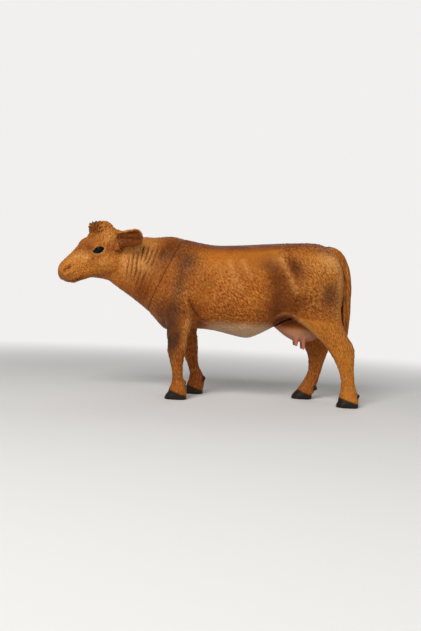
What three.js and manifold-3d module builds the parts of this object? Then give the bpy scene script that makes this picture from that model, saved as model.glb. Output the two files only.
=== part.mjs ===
// Cow figurine in soft plastic, cast in ten pieces that plug together with keyed tenons.
// Millimetres. The cow faces -X, its left side faces -Y and it stands on Z = 0.
import * as THREE from 'three';
import { mergeVertices } from 'three/addons/utils/BufferGeometryUtils.js';
import Module from 'manifold-3d';

const wasm = await Module();
wasm.setup();

// Trunk: lengths along the back, then heights above the ground, then widths
const bodyLength = 79;
const neckLength = 36;
const withersHeight = 78;
const pollRise = 4;
const pollHeight = withersHeight + pollRise;
const barrelWidth = 38.4;
const neckWidth = 31;
const rumpRound = 7;

// Head, measured along its own axis from the poll to the nose
const headLength = 30.2;
const headDepth = 28;
const headWidth = 16.4;
const headSlope = 30;
const headTurn = 16;
const headOverlap = 1.1;
const headRootDrop = 11;
const bendStart = 8;
const eyeLength = 4;
const eyeHeight = 2.9;
const eyeDepth = 2.8;
const nostrilLength = 2.4;
const nostrilHeight = 1.3;
const nostrilDepth = 1.6;

// Ears
const earLength = 16;
const earWidth = 9.2;
const earThickness = 2.6;
const earCup = 3.2;
const earRootLength = 3.2;

// Legs: stance beside the middle, length from front to back and width at the top, then the feet
const foreStance = 12;
const foreLegLength = 12.6;
const foreLegWidth = 11;
const hindStance = 12.4;
const hindLegLength = 27;
const hindLegWidth = 15;
const foreSeamSlope = -38;
const hindSeamSlope = 6;
const coronetHeight = 4.2;
const hoofLength = 10.8;
const hoofWidth = 8;
const cleftWidth = 0.8;
const dewclawSize = 2.3;
const foreDewclawHeight = 8;
const hindDewclawHeight = 5.8;

// Tail and udder
const tailWidth = 5.8;
const tailDrop = 43.5;
const tailReach = 7.4;
const tailRootDrop = 2.8;
const tailSeamForward = 5;
const udderLength = 26;
const udderWidth = 15;
const udderDrop = 11.4;
const udderForward = 7;
const teatLength = 3.5;
const teatWidth = 2.7;

// Seams, tenons and their play
const neckSeamLean = 24;
const neckTenonDrop = 18;
const seamGap = 0.3;
const neckTenon = { width: 7, height: 15, length: 7 };
const legTenon = { width: 4.6, height: 5.8, length: 6 };
const earTenon = { width: 1.2, height: 2.2, length: 2.2 };
const tailTenon = { width: 2, height: 2.6, length: 4 };
const udderTenon = { width: 6, height: 9, length: 3.2 };
const cutterSize = 300;

// Facets round a section and along each form
const trunkSides = 34;
const trunkSteps = 56;
const headSides = 26;
const headSteps = 24;
const legSides = 14;
const legSteps = 24;
const smallSides = 10;

// Powers of the rounded sections: 2 is an ellipse, more is fuller
const roundPower = 2;
const headPower = 2.3;
const legPower = 2.25;
const hoofPower = 2.4;

// The rump's end is the start of all lengths along the trunk; the cow faces -X
const withersX = -bodyLength;

const ochre = new THREE.MeshStandardMaterial({ color: 0xb8743a, roughness: 0.5, metalness: 0 });
const brown = new THREE.MeshStandardMaterial({ color: 0x8a4a22, roughness: 0.55, metalness: 0 });
const pink = new THREE.MeshStandardMaterial({ color: 0xd58f86, roughness: 0.45, metalness: 0 });

// Smooth curve through [place, value, value, ...] rows, without overshoot between the rows
function curveThrough(rows) {
  const places = rows.map((row) => row[0]);
  const columns = rows[0].length - 1;
  const slopes = [];
  for (let column = 1; column <= columns; column += 1) {
    const rises = [];
    for (let i = 0; i + 1 < rows.length; i += 1) {
      rises.push((rows[i + 1][column] - rows[i][column]) / (places[i + 1] - places[i]));
    }
    slopes.push(rows.map((row, i) => {
      if (i === 0) return rises[0];
      if (i === rows.length - 1) return rises[i - 1];
      if (rises[i - 1] * rises[i] <= 0) return 0;
      const before = places[i] - places[i - 1];
      const after = places[i + 1] - places[i];
      const total = 3 * (before + after);
      return total / ((2 * after + before) / rises[i - 1] + (after + 2 * before) / rises[i]);
    }));
  }
  return (place) => {
    let i = 0;
    while (i + 2 < rows.length && place > places[i + 1]) i += 1;
    const span = places[i + 1] - places[i];
    const t = THREE.MathUtils.clamp((place - places[i]) / span, 0, 1);
    const late = t * t * (3 - 2 * t);
    const leave = t * (1 - t) * (1 - t);
    const arrive = t * t * (t - 1);
    return slopes.map((slope, column) => {
      const start = rows[i][column + 1];
      const end = rows[i + 1][column + 1];
      return start + (end - start) * late + span * (leave * slope[i] + arrive * slope[i + 1]);
    });
  };
}

// Closed skin over rings of equal count, with a fan at each end
function skin(rings) {
  const count = rings[0].length;
  const positions = [];
  const triangles = [];
  rings.forEach((ring) => ring.forEach((point) => positions.push(point.x, point.y, point.z)));
  for (let r = 0; r + 1 < rings.length; r += 1) {
    for (let k = 0; k < count; k += 1) {
      const a = r * count + k;
      const b = r * count + ((k + 1) % count);
      triangles.push(a, b, b + count, a, b + count, a + count);
    }
  }
  [rings[0], rings[rings.length - 1]].forEach((ring, end) => {
    const middle = new THREE.Vector3();
    ring.forEach((point) => middle.addScaledVector(point, 1 / count));
    const tip = positions.length / 3;
    positions.push(middle.x, middle.y, middle.z);
    const base = end ? (rings.length - 1) * count : 0;
    for (let k = 0; k < count; k += 1) {
      const a = base + k;
      const b = base + ((k + 1) % count);
      if (end) triangles.push(a, b, tip);
      else triangles.push(b, a, tip);
    }
  });
  const geometry = new THREE.BufferGeometry();
  geometry.setAttribute('position', new THREE.Float32BufferAttribute(positions, 3));
  geometry.setIndex(triangles);
  return geometry;
}

// Solid for joining and cutting, turned outside out where the skin came inside out
function solid(geometry) {
  const bare = geometry.clone();
  bare.deleteAttribute('normal');
  bare.deleteAttribute('uv');
  const merged = mergeVertices(bare, seamGap / 1000);
  const place = merged.getAttribute('position');
  const index = Array.from(merged.getIndex().array);
  const corner = (i) => new THREE.Vector3().fromBufferAttribute(place, index[i]);
  let volume = 0;
  for (let i = 0; i < index.length; i += 3) {
    volume += corner(i).dot(corner(i + 1).cross(corner(i + 2)));
  }
  if (volume < 0) {
    for (let i = 0; i < index.length; i += 3) [index[i], index[i + 1]] = [index[i + 1], index[i]];
  }
  const mesh = new wasm.Mesh({
    numProp: 3,
    vertProperties: new Float32Array(place.array),
    triVerts: new Uint32Array(index),
  });
  return new wasm.Manifold(mesh);
}

function namedMesh(name, form, material) {
  const mesh = form.getMesh();
  const geometry = new THREE.BufferGeometry();
  geometry.setAttribute('position', new THREE.Float32BufferAttribute(mesh.vertProperties, 3));
  geometry.setIndex(Array.from(mesh.triVerts));
  geometry.computeVertexNormals();
  const node = new THREE.Mesh(geometry, material);
  node.name = name;
  return node;
}

// Rounded section: half widths across, above and below, fuller where the power is higher
function section(sides, half, rise, fall, powerAbove, powerBelow) {
  const points = [];
  for (let k = 0; k < sides; k += 1) {
    const angle = (2 * Math.PI * k) / sides;
    const c = Math.cos(angle);
    const s = Math.sin(angle);
    const power = 2 / (s > 0 ? powerAbove : powerBelow);
    const across = Math.sign(c) * Math.abs(c) ** power * half;
    const up = Math.sign(s) * Math.abs(s) ** power * (s > 0 ? rise : fall);
    points.push({ across, up, out: c });
  }
  return points;
}

// Everything on the far side of a plane: a block whose face lies on it
function sideOf(point, normal) {
  const block = new THREE.BoxGeometry(cutterSize, cutterSize, cutterSize);
  block.translate(0, 0, cutterSize / 2);
  block.applyQuaternion(new THREE.Quaternion().setFromUnitVectors(new THREE.Vector3(0, 0, 1), normal));
  block.translate(point.x, point.y, point.z);
  return solid(block);
}

// Oblong tenon that stands on a seam, or its socket where play is added
function tenon(size, point, normal, play) {
  const radius = size.height / 2 + play;
  const length = size.length + play + seamGap;
  const peg = new THREE.CylinderGeometry(radius, radius, 2 * length, smallSides);
  peg.scale(1, 1, (size.width / 2 + play) / radius);
  peg.rotateX(Math.PI / 2);
  peg.rotateY(-Math.PI / 2);
  const forward = normal.clone().normalize();
  const side = new THREE.Vector3(0, 1, 0);
  const up = new THREE.Vector3().crossVectors(forward, side).normalize();
  side.crossVectors(up, forward);
  peg.applyMatrix4(new THREE.Matrix4().makeBasis(forward, side, up));
  peg.translate(point.x, point.y, point.z);
  return solid(peg);
}

// The piece of a form beyond a seam, with its tenon
function plugPiece(form, point, normal, size) {
  return form.intersect(sideOf(point, normal)).add(tenon(size, point, normal, 0));
}

// What stays behind a seam, with the socket: the room is cut away beyond the seam and its gap
function socketPiece(form, room, point, normal, size) {
  const back = point.clone().addScaledVector(normal, -seamGap);
  const beyond = sideOf(back, normal);
  return form.subtract(room ? room.intersect(beyond) : beyond).subtract(tenon(size, point, normal, seamGap));
}

// Joins a form's root to its carrier and parts the rest of it off at the seam.
// The same form, grown by the seam's gap, makes room for the piece in the carrier.
function part(carrier, form, room, point, normal, size) {
  const root = form.intersect(sideOf(point, normal.clone().negate()));
  return [socketPiece(carrier.add(root), room, point, normal, size), plugPiece(form, point, normal, size)];
}

// Swells and hollows of muscle and bone: place, reach and height, all as shares of the trunk's sizes
const muscleShares = [
  { along: 0.95, high: 0.8, reach: 0.075, tall: 0.17, swell: 0.034 },
  { along: 1.06, high: 0.6, reach: 0.09, tall: 0.08, swell: 0.036 },
  { along: 0.93, high: 0.58, reach: 0.07, tall: 0.08, swell: 0.022 },
  { along: 0.81, high: 0.63, reach: 0.06, tall: 0.15, swell: -0.024 },
  { along: 0.63, high: 0.6, reach: 0.23, tall: 0.16, swell: 0.022 },
  { along: 0.4, high: 0.73, reach: 0.06, tall: 0.1, swell: -0.04 },
  { along: 0.375, high: 0.925, reach: 0.05, tall: 0.045, swell: 0.034 },
  { along: 0.25, high: 0.83, reach: 0.07, tall: 0.09, swell: 0.016 },
  { along: 0.16, high: 0.72, reach: 0.11, tall: 0.15, swell: 0.02 },
  { along: 0.05, high: 0.9, reach: 0.04, tall: 0.05, swell: 0.026 },
];

function muscle(x, z) {
  let swell = 0;
  muscleShares.forEach((form) => {
    const dx = (-x / bodyLength - form.along) / form.reach;
    const dz = (z / withersHeight - form.high) / form.tall;
    swell += form.swell * barrelWidth * Math.exp(-dx * dx - dz * dz);
  });
  return swell;
}

// Folds of loose skin on the neck, deepest halfway up its side
const foldCount = 9;
const foldDepth = 0.55;
const foldLeanShare = 0.45;
const foldStartShare = 0.12;
const foldEndShare = 0.95;

function neckFold(x, z) {
  const along = (withersX - x + foldLeanShare * (withersHeight - z)) / neckLength;
  const reach = (along - foldStartShare) / (foldEndShare - foldStartShare);
  if (reach <= 0 || reach >= 1) return 0;
  const fade = Math.sin(Math.PI * reach) ** 0.5;
  return -foldDepth * fade * (0.5 + 0.5 * Math.cos(2 * Math.PI * foldCount * reach)) ** 2;
}

// The neck bends sideways in an arc, so that the head looks a little to the left
const turn = THREE.MathUtils.degToRad(headTurn);
const bendX = withersX - bendStart;
const bendLength = neckLength - bendStart;
const bendRadius = bendLength / turn;

function bend(point) {
  const forward = bendX - point.x;
  if (forward <= 0) return point;
  const angle = Math.min(forward / bendRadius, turn);
  const beyond = Math.max(forward - bendLength, 0);
  const reach = bendRadius + point.y;
  return new THREE.Vector3(
    bendX - reach * Math.sin(angle) - beyond * Math.cos(angle),
    -bendRadius + reach * Math.cos(angle) - beyond * Math.sin(angle),
    point.z,
  );
}

// Trunk and neck: place along, top line, under line, half width, height of the widest place,
// then how full the section is above and below it
const bodyShares = [
  [0, 0.925, 0.5, 0.4, 0.74, 2.4, 2.6],
  [0.03, 0.932, 0.532, 0.415, 0.74, 2.4, 2.8],
  [0.055, 0.957, 0.544, 0.43, 0.74, 2.4, 3],
  [0.09, 0.985, 0.545, 0.44, 0.74, 2.4, 3.2],
  [0.185, 1.013, 0.54, 0.458, 0.73, 2.5, 3.4],
  [0.337, 1.004, 0.515, 0.47, 0.7, 2.8, 2.9],
  [0.4, 1, 0.478, 0.475, 0.67, 2.8, 2.5],
  [0.476, 0.995, 0.432, 0.485, 0.64, 2.6, 2.2],
  [0.577, 0.985, 0.391, 0.497, 0.61, 2.5, 2.1],
  [0.69, 0.976, 0.41, 0.5, 0.61, 2.4, 2.1],
  [0.79, 0.971, 0.43, 0.492, 0.62, 2.4, 2.2],
  [0.88, 0.98, 0.436, 0.465, 0.63, 2.3, 2.4],
  [1, 1.001, 0.423, 0.425, 0.64, 2.2, 2.2],
];
const neckShares = [
  [0.17, 0.965, 0.396, 0.47, 0.66, 2.2, 2],
  [0.275, 0.961, 0.43, 0.43, 0.68, 2.2, 1.9],
  [0.42, 0.953, 0.496, 0.38, 0.71, 2.2, 1.9],
  [0.63, 0.956, 0.568, 0.325, 0.76, 2.2, 2],
  [0.85, 0.98, 0.632, 0.27, 0.8, 2.2, 2],
  [1, 0.99, 0.677, 0.235, 0.83, 2.2, 2],
];

// The rump ends in two round buttocks with a hollow for the tail between them
const rumpSteps = 6;
const rumpRingShares = [0.12, 0.4, 0.7];
const rumpDome = 1.2;
const tailHollow = 1.6;
const tailHollowWidth = 5;

function rumpEnd(point, centre, share) {
  const hollow = tailHollow * Math.exp(-((point.y / tailHollowWidth) ** 2));
  const shrunk = centre.clone().lerp(point, share);
  shrunk.x += rumpDome * (1 - share * share) - hollow;
  return shrunk;
}

function trunkForm() {
  const body = bodyShares.map(([along, top, under, half, widest, above, below]) => [
    along * bodyLength, top * withersHeight, under * withersHeight, half * barrelWidth,
    widest * withersHeight, above, below,
  ]);
  const neck = neckShares.map(([along, top, under, half, widest, above, below]) => [
    bodyLength + along * neckLength, top * pollHeight, under * pollHeight, half * neckWidth,
    widest * pollHeight, above, below,
  ]);
  const lines = curveThrough([...body, ...neck]);
  const total = bodyLength + neckLength;
  const rings = [];
  for (let step = 0; step <= trunkSteps; step += 1) {
    const arc = (Math.PI / 2) * Math.min(step / rumpSteps, 1);
    const inset = rumpRound * (1 - Math.sin(arc));
    const past = Math.max(step - rumpSteps, 0) / (trunkSteps - rumpSteps);
    const along = rumpRound * (1 - Math.cos(arc)) + (total - rumpRound) * past;
    const [top, under, half, widest, above, below] = lines(along);
    const upper = top - widest - inset;
    const lower = widest - under - inset;
    const ring = section(trunkSides, half - inset, upper, lower, above, below);
    rings.push(ring.map(({ across, up, out }) => {
      const z = widest + up;
      const lift = (muscle(-along, z) + neckFold(-along, z)) * Math.abs(out) ** 0.7 * Math.sign(out);
      const hollow = tailHollow * Math.exp(-((across / tailHollowWidth) ** 2)) * Math.cos(arc);
      return bend(new THREE.Vector3(-along - hollow, across + lift, z));
    }));
  }
  const middle = new THREE.Vector3(0, 0, lines(0)[3]);
  const end = rings[0];
  const cap = rumpRingShares.map((share) => end.map((point) => {
    const bare = new THREE.Vector3(0, point.y, point.z);
    return rumpEnd(bare, middle, share);
  }));
  return skin([...cap, ...rings]);
}

// The head's own frame: forward along its slope, up square to it, turned as the bent neck ends
const slope = THREE.MathUtils.degToRad(headSlope);

function headPoint(forward, across, up) {
  const x = withersX - neckLength + headOverlap - forward * Math.cos(slope) - up * Math.sin(slope);
  const z = pollHeight - headRootDrop - forward * Math.sin(slope) + up * Math.cos(slope);
  const end = bendX - bendLength;
  const hinge = bend(new THREE.Vector3(end, 0, 0));
  const dx = x - end;
  return new THREE.Vector3(
    hinge.x + dx * Math.cos(turn) - across * Math.sin(turn),
    hinge.y + dx * Math.sin(turn) + across * Math.cos(turn),
    z,
  );
}

// Head: place along, brow line, jaw line, half width and height of the widest place
const headShares = [
  [-0.26, 0.16, -0.16, 0.2, 0.06],
  [-0.18, 0.42, -0.3, 0.34, 0.08],
  [-0.08, 0.53, -0.4, 0.41, 0.1],
  [0.06, 0.605, -0.46, 0.45, 0.14],
  [0.13, 0.6, -0.47, 0.465, 0.15],
  [0.18, 0.51, -0.47, 0.48, 0.15],
  [0.23, 0.43, -0.465, 0.49, 0.15],
  [0.31, 0.405, -0.44, 0.485, 0.14],
  [0.38, 0.38, -0.37, 0.44, 0.08],
  [0.51, 0.308, -0.278, 0.365, 0.02],
  [0.6, 0.27, -0.255, 0.335, 0.01],
  [0.7, 0.232, -0.245, 0.325, 0.01],
  [0.8, 0.2, -0.232, 0.335, 0],
  [0.88, 0.165, -0.18, 0.36, 0],
  [0.95, 0.105, -0.125, 0.3, 0],
  [0.985, 0.03, -0.055, 0.17, -0.01],
];

function headForm() {
  const lines = curveThrough(headShares.map(([along, brow, jaw, half, widest]) => [
    along * headLength, brow * headDepth, jaw * headDepth, half * headWidth, widest * headDepth,
  ]));
  const first = headShares[0][0] * headLength;
  const last = headShares[headShares.length - 1][0] * headLength;
  const rings = [];
  for (let step = 0; step <= headSteps; step += 1) {
    const forward = first + (last - first) * Math.sin(((Math.PI / 2) * step) / headSteps);
    const [brow, jaw, half, widest] = lines(forward);
    const ring = section(headSides, half, brow - widest, widest - jaw, headPower, headPower);
    rings.push(ring.map(({ across, up }) => headPoint(forward, across, widest + up)));
  }
  return skin(rings);
}

function ball(width, length, height, centre, tilt) {
  const sphere = new THREE.SphereGeometry(1 / 2, smallSides, smallSides / 2);
  sphere.scale(length, width, height);
  sphere.rotateY(tilt);
  sphere.rotateZ(turn);
  sphere.translate(centre.x, centre.y, centre.z);
  return solid(sphere);
}

// Eyes stand in their sockets; nostrils are sunk in the muzzle
const eyeAlongShare = 0.225;
const eyeUpShare = 0.1;
const eyeOutShare = 0.455;
const nostrilAlongShare = 0.895;
const nostrilUpShare = 0.06;
const nostrilOutShare = 0.33;

function headSolid() {
  let head = solid(headForm());
  [-1, 1].forEach((side) => {
    const eye = headPoint(eyeAlongShare * headLength, side * eyeOutShare * headWidth, eyeUpShare * headDepth);
    head = head.add(ball(eyeDepth, eyeLength, eyeHeight, eye, slope));
    const nostril = headPoint(
      nostrilAlongShare * headLength, side * nostrilOutShare * headWidth, nostrilUpShare * headDepth,
    );
    head = head.subtract(ball(nostrilDepth, nostrilLength, nostrilHeight, nostril, slope));
  });
  return head;
}

// Ear: a cupped leaf, swept back from the side of the poll; place along, half width
const earShares = [[0, 0.2], [0.18, 0.3], [0.4, 0.44], [0.62, 0.5], [0.82, 0.43], [0.94, 0.28], [1, 0.06]];
const earSteps = 14;
const earThinShare = 0.6;
const earBack = 38;
const earLift = 22;
const earAlongShare = 0;
const earUpShare = 0.01;
const earOutShare = 0.47;

function earAxes(side) {
  const back = THREE.MathUtils.degToRad(earBack);
  const lift = THREE.MathUtils.degToRad(earLift);
  const level = Math.cos(lift);
  const along = new THREE.Vector3(level * Math.cos(back), side * level * Math.sin(back), Math.sin(lift));
  along.applyAxisAngle(new THREE.Vector3(0, 0, 1), turn);
  const cup = new THREE.Vector3(-Math.sin(back), side * Math.cos(back), 0);
  cup.applyAxisAngle(new THREE.Vector3(0, 0, 1), turn);
  const across = new THREE.Vector3().crossVectors(cup, along).normalize();
  return { along, cup, across };
}

function earRoot(side) {
  return headPoint(earAlongShare * headLength, side * earOutShare * headWidth, earUpShare * headDepth);
}

function earForm(side, play) {
  const { along, cup, across } = earAxes(side);
  const root = earRoot(side);
  const outline = curveThrough(earShares);
  const rings = [];
  for (let step = 0; step <= earSteps; step += 1) {
    const share = Math.sin(((Math.PI / 2) * step) / earSteps);
    const half = outline(share)[0] * earWidth;
    const deep = earCup * Math.sin(Math.PI * share);
    const thick = earThickness * (1 - earThinShare * share);
    const ring = section(smallSides, half + play, thick / 2 + play, thick / 2 + play, roundPower, roundPower);
    rings.push(ring.map(({ across: wide, up }) => {
      const hollow = deep * ((wide / half) ** 2 - share / 2);
      return root.clone().addScaledVector(along, share * earLength)
        .addScaledVector(across, wide)
        .addScaledVector(cup, hollow + up);
    }));
  }
  return solid(skin(rings));
}

// Tops, buried in the trunk, and seams of the legs, as shares of the height at the withers
const foreTopShare = 0.718;
const hindTopShare = 0.795;
const foreSeamShare = 0.464;
const hindSeamShare = 0.518;
const legSinkShare = 0.7;

// Legs: height, place of the front line, place of the back line, half width, place across.
// Heights are shares of the leg's top, the rest shares of its length front to back and its width.
const foreLegShares = [
  [0.07, -0.36, 0.36, 0.35, 1.0],
  [0.11, -0.32, 0.33, 0.35, 1.0],
  [0.145, -0.25, 0.25, 0.31, 1.0],
  [0.2, -0.26, 0.14, 0.27, 1.0],
  [0.27, -0.33, 0.1, 0.26, 1.0],
  [0.34, -0.45, 0.11, 0.29, 1.0],
  [0.42, -0.57, 0.15, 0.34, 1.0],
  [0.48, -0.59, 0.16, 0.34, 1.0],
  [0.55, -0.64, 0.18, 0.37, 1.0],
  [0.64, -0.72, 0.28, 0.43, 0.97],
  [0.72, -0.82, 0.37, 0.47, 0.9],
  [0.85, -0.86, 0.4, 0.43, 0.76],
  [1, -0.7, 0.36, 0.26, 0.6],
];
const hindLegShares = [
  [0.055, -0.18, 0.177, 0.205, 1.0],
  [0.1, -0.14, 0.185, 0.205, 1.0],
  [0.15, -0.105, 0.155, 0.175, 1.0],
  [0.22, -0.115, 0.125, 0.165, 1.0],
  [0.3, -0.185, 0.1, 0.185, 1.0],
  [0.37, -0.275, 0.09, 0.22, 1.0],
  [0.42, -0.365, 0.085, 0.24, 1.0],
  [0.47, -0.455, 0.06, 0.25, 1.0],
  [0.53, -0.6, -0.035, 0.3, 0.99],
  [0.6, -0.79, -0.11, 0.37, 0.96],
  [0.68, -1.02, -0.14, 0.43, 0.92],
  [0.78, -1.1, -0.13, 0.44, 0.88],
  [0.9, -1.05, -0.12, 0.4, 0.83],
  [1, -0.9, -0.2, 0.26, 0.76],
];

// Poses: where each leg's middle line stands, as shares of the body's length, at shares of its height
const poseShares = {
  left_foreleg: [[0, 0.988], [0.3, 0.975], [0.5, 0.965], [1, 0.96]],
  right_foreleg: [[0, 0.892], [0.15, 0.886], [0.45, 0.905], [0.7, 0.94], [1, 0.96]],
  left_hind_leg: [[0, -0.055], [0.2, -0.04], [0.35, -0.045], [0.5, -0.05], [1, 0.0]],
  right_hind_leg: [[0, 0.175], [0.12, 0.15], [0.25, 0.1], [0.38, 0.06], [0.5, 0.03], [1, 0.0]],
};

// Each leg's fetlock stands out behind by its own share of the leg's length from front to back
const legs = [
  { name: 'left_foreleg', side: -1, fore: true, fetlock: 0 },
  { name: 'right_foreleg', side: 1, fore: true, fetlock: 0.14 },
  { name: 'left_hind_leg', side: -1, fore: false, fetlock: 0 },
  { name: 'right_hind_leg', side: 1, fore: false, fetlock: 0.02 },
];
const fetlockShare = 0.17;
const fetlockSpread = 0.07;

// Where a leg's front, back and middle lie at a height, and its half width there
function legLines({ name, side, fore, fetlock }) {
  const top = withersHeight * (fore ? foreTopShare : hindTopShare);
  const long = fore ? foreLegLength : hindLegLength;
  const wide = fore ? foreLegWidth : hindLegWidth;
  const stance = fore ? foreStance : hindStance;
  const shape = curveThrough(fore ? foreLegShares : hindLegShares);
  const pose = curveThrough(poseShares[name]);
  return (height) => {
    const [front, back, half, across] = shape(height / top);
    const middle = -pose(height / top)[0] * bodyLength;
    const bulge = fetlock * Math.exp(-(((height / top - fetlockShare) / fetlockSpread) ** 2));
    return {
      front: middle + front * long,
      back: middle + (back + bulge) * long,
      half: half * wide,
      y: side * stance * across,
    };
  };
}

function legForm(leg, play) {
  const lines = legLines(leg);
  const top = withersHeight * (leg.fore ? foreTopShare : hindTopShare);
  const low = coronetHeight * legSinkShare;
  const rings = [];
  for (let step = 0; step <= legSteps; step += 1) {
    const height = low + ((top - low) * step) / legSteps;
    const { front, back, half, y } = lines(height);
    const reach = (back - front) / 2 + play;
    rings.push(section(legSides, half + play, reach, reach, legPower, legPower).map(({ across, up }) => (
      new THREE.Vector3((front + back) / 2 - up, y + across, height)
    )));
  }
  return solid(skin(rings));
}

// Hoof: two claws on a flat sole, with two dewclaws behind the fetlock
const hoofHeightShares = [[0, 1, 1], [0.35, 0.97, 0.99], [0.75, 0.86, 0.93], [1, 0.76, 0.84]];
const hoofSteps = 6;
const hoofHeelShare = 0.44;
const dewclawSetShare = 0.2;

function hoofForm({ name, side, fore }) {
  const stance = fore ? foreStance : hindStance;
  const heel = -poseShares[name][0][1] * bodyLength + hoofHeelShare * hoofLength;
  const shape = curveThrough(hoofHeightShares);
  const rings = [];
  for (let step = 0; step <= hoofSteps; step += 1) {
    const share = step / hoofSteps;
    const [long, wide] = shape(share);
    const reach = (long * hoofLength) / 2;
    const ring = section(legSides, (wide * hoofWidth) / 2, reach, reach, hoofPower, hoofPower);
    rings.push(ring.map(({ across, up }) => (
      new THREE.Vector3(heel - reach - up, side * stance + across, share * coronetHeight)
    )));
  }
  let hoof = solid(skin(rings));
  const cleft = new THREE.BoxGeometry(hoofLength * 2, cleftWidth, coronetHeight);
  cleft.translate(heel - hoofLength / 2, side * stance, 0);
  hoof = hoof.subtract(solid(cleft));
  return hoof;
}

function dewclaws(leg) {
  const height = leg.fore ? foreDewclawHeight : hindDewclawHeight;
  const { back, y } = legLines(leg)(height);
  const claws = [-1, 1].map((which) => {
    const claw = new THREE.SphereGeometry(dewclawSize / 2, smallSides, smallSides / 2);
    const set = which * dewclawSetShare * hoofWidth;
    claw.translate(back - dewclawSetShare * dewclawSize, y + set, height);
    return solid(claw);
  });
  return claws[0].add(claws[1]);
}

// Tail: down behind the rump, with a switch that swells below the hocks' height
const tailShares = [[0, 0.5], [0.12, 0.46], [0.3, 0.43], [0.6, 0.43], [0.78, 0.48], [0.92, 0.36], [1, 0.08]];
const tailSteps = 30;
const tailPathShares = [
  [-1.62, -0.03], [-0.81, 0.01], [-0.2, -0.035], [0.13, -0.13], [0.35, -0.25],
  [0.47, -0.4], [0.43, -0.6], [0.4, -0.81], [0.54, -1],
];

function tailForm(play) {
  const path = new THREE.CatmullRomCurve3(tailPathShares.map(([out, down]) => (
    new THREE.Vector3(out * tailReach, 0, withersHeight - tailRootDrop + down * tailDrop)
  )));
  const outline = curveThrough(tailShares);
  const rings = [];
  for (let step = 0; step <= tailSteps; step += 1) {
    const share = step / tailSteps;
    const centre = path.getPointAt(share);
    const forward = path.getTangentAt(share);
    const side = new THREE.Vector3(0, 1, 0);
    const out = new THREE.Vector3().crossVectors(side, forward);
    const half = outline(share)[0] * tailWidth + play;
    rings.push(section(smallSides, half, half, half, roundPower, roundPower).map(({ across, up }) => (
      centre.clone().addScaledVector(side, across).addScaledVector(out, up)
    )));
  }
  return solid(skin(rings));
}

// Udder: a bag under the flank with four teats, on a flat seat in the groin
const udderSeatShare = 0.526;
const udderTop = udderSeatShare * withersHeight;
const udderShares = [
  [0, 0.4, 0.3], [0.12, 0.66, 0.52], [0.3, 0.92, 0.82], [0.5, 1, 1],
  [0.7, 0.88, 0.98], [0.88, 0.64, 0.8], [1, 0.3, 0.3],
];
const udderSteps = 14;
const teatAlongShares = [0.47, 0.61];
const teatAcrossShare = 0.24;
const teatTipShare = 0.55;

function udderForm(play) {
  const shape = curveThrough(udderShares);
  const rings = [];
  for (let step = 0; step <= udderSteps; step += 1) {
    const share = step / udderSteps;
    const [wide, deep] = shape(share);
    const x = -udderForward - udderLength / 2 + (1 / 2 - share) * -udderLength;
    const half = (wide * udderWidth) / 2;
    const ring = section(legSides, half + play, half / 2, deep * udderDrop + play, legPower, legPower);
    rings.push(ring.map(({ across, up }) => (
      new THREE.Vector3(x, across, udderTop + up)
    )));
  }
  let udder = solid(skin(rings));
  teatAlongShares.forEach((along) => [-1, 1].forEach((side) => {
    const round = teatWidth / 2;
    const teat = new THREE.CylinderGeometry(round, teatTipShare * round, 2 * teatLength, smallSides);
    teat.rotateX(Math.PI / 2);
    const x = -udderForward - udderLength + along * udderLength;
    teat.translate(x, side * teatAcrossShare * udderWidth, udderTop - udderDrop);
    udder = udder.add(solid(teat));
  }));
  return udder;
}

// Directions that face out of the seams
function tilted(degrees) {
  const angle = THREE.MathUtils.degToRad(degrees);
  return new THREE.Vector3(-Math.cos(angle), 0, Math.sin(angle));
}

const nodes = [];
let torso = solid(trunkForm());

// Udder, seated flat in the groin
const udderSeam = new THREE.Vector3(-udderForward - udderLength / 2, 0, udderTop);
const down = new THREE.Vector3(0, 0, -1);
const udderRoom = udderForm(seamGap);
let udder;
[torso, udder] = part(torso, udderForm(0), udderRoom, udderSeam, down, udderTenon);
nodes.push(namedMesh('udder', udder, pink));

// Legs, parted below the elbow and below the stifle
legs.forEach((leg) => {
  const slopeDown = THREE.MathUtils.degToRad(leg.fore ? foreSeamSlope : hindSeamSlope);
  const normal = new THREE.Vector3(-Math.sin(slopeDown), 0, -Math.cos(slopeDown));
  const seamHeight = withersHeight * (leg.fore ? foreSeamShare : hindSeamShare);
  const { front, back, y } = legLines(leg)(seamHeight);
  const seam = new THREE.Vector3((front + back) / 2, y, seamHeight);
  const form = legForm(leg, 0).subtract(udderRoom);
  let piece;
  [torso, piece] = part(torso, form, legForm(leg, seamGap), seam, normal, legTenon);
  nodes.push(namedMesh(leg.name, piece.add(hoofForm(leg)).add(dewclaws(leg)), ochre));
});

// Tail, plugged in above the pin bones
const tailSeam = new THREE.Vector3(-tailSeamForward, 0, withersHeight - tailRootDrop);
let tail;
[torso, tail] = part(torso, tailForm(0), tailForm(seamGap), tailSeam, new THREE.Vector3(1, 0, 0), tailTenon);
nodes.push(namedMesh('tail', tail, brown));

// Neck seam, leaning back from the brisket to the withers
const neckNormal = tilted(neckSeamLean);
const neckSeamBack = neckTenonDrop * Math.tan(THREE.MathUtils.degToRad(neckSeamLean));
const neckSeam = new THREE.Vector3(withersX - neckSeamBack, 0, withersHeight - neckTenonDrop);
let head = plugPiece(torso.add(headSolid()), neckSeam, neckNormal, neckTenon);
torso = socketPiece(torso, null, neckSeam, neckNormal, neckTenon);

// Ears, each on a short root that belongs to the head
[-1, 1].forEach((side) => {
  const { along } = earAxes(side);
  const seam = earRoot(side).addScaledVector(along, earRootLength);
  let ear;
  [head, ear] = part(head, earForm(side, 0), earForm(side, seamGap), seam, along, earTenon);
  nodes.push(namedMesh(side < 0 ? 'left_ear' : 'right_ear', ear, brown));
});
nodes.push(namedMesh('head_and_neck', head, ochre));
nodes.push(namedMesh('torso', torso, ochre));

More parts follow.
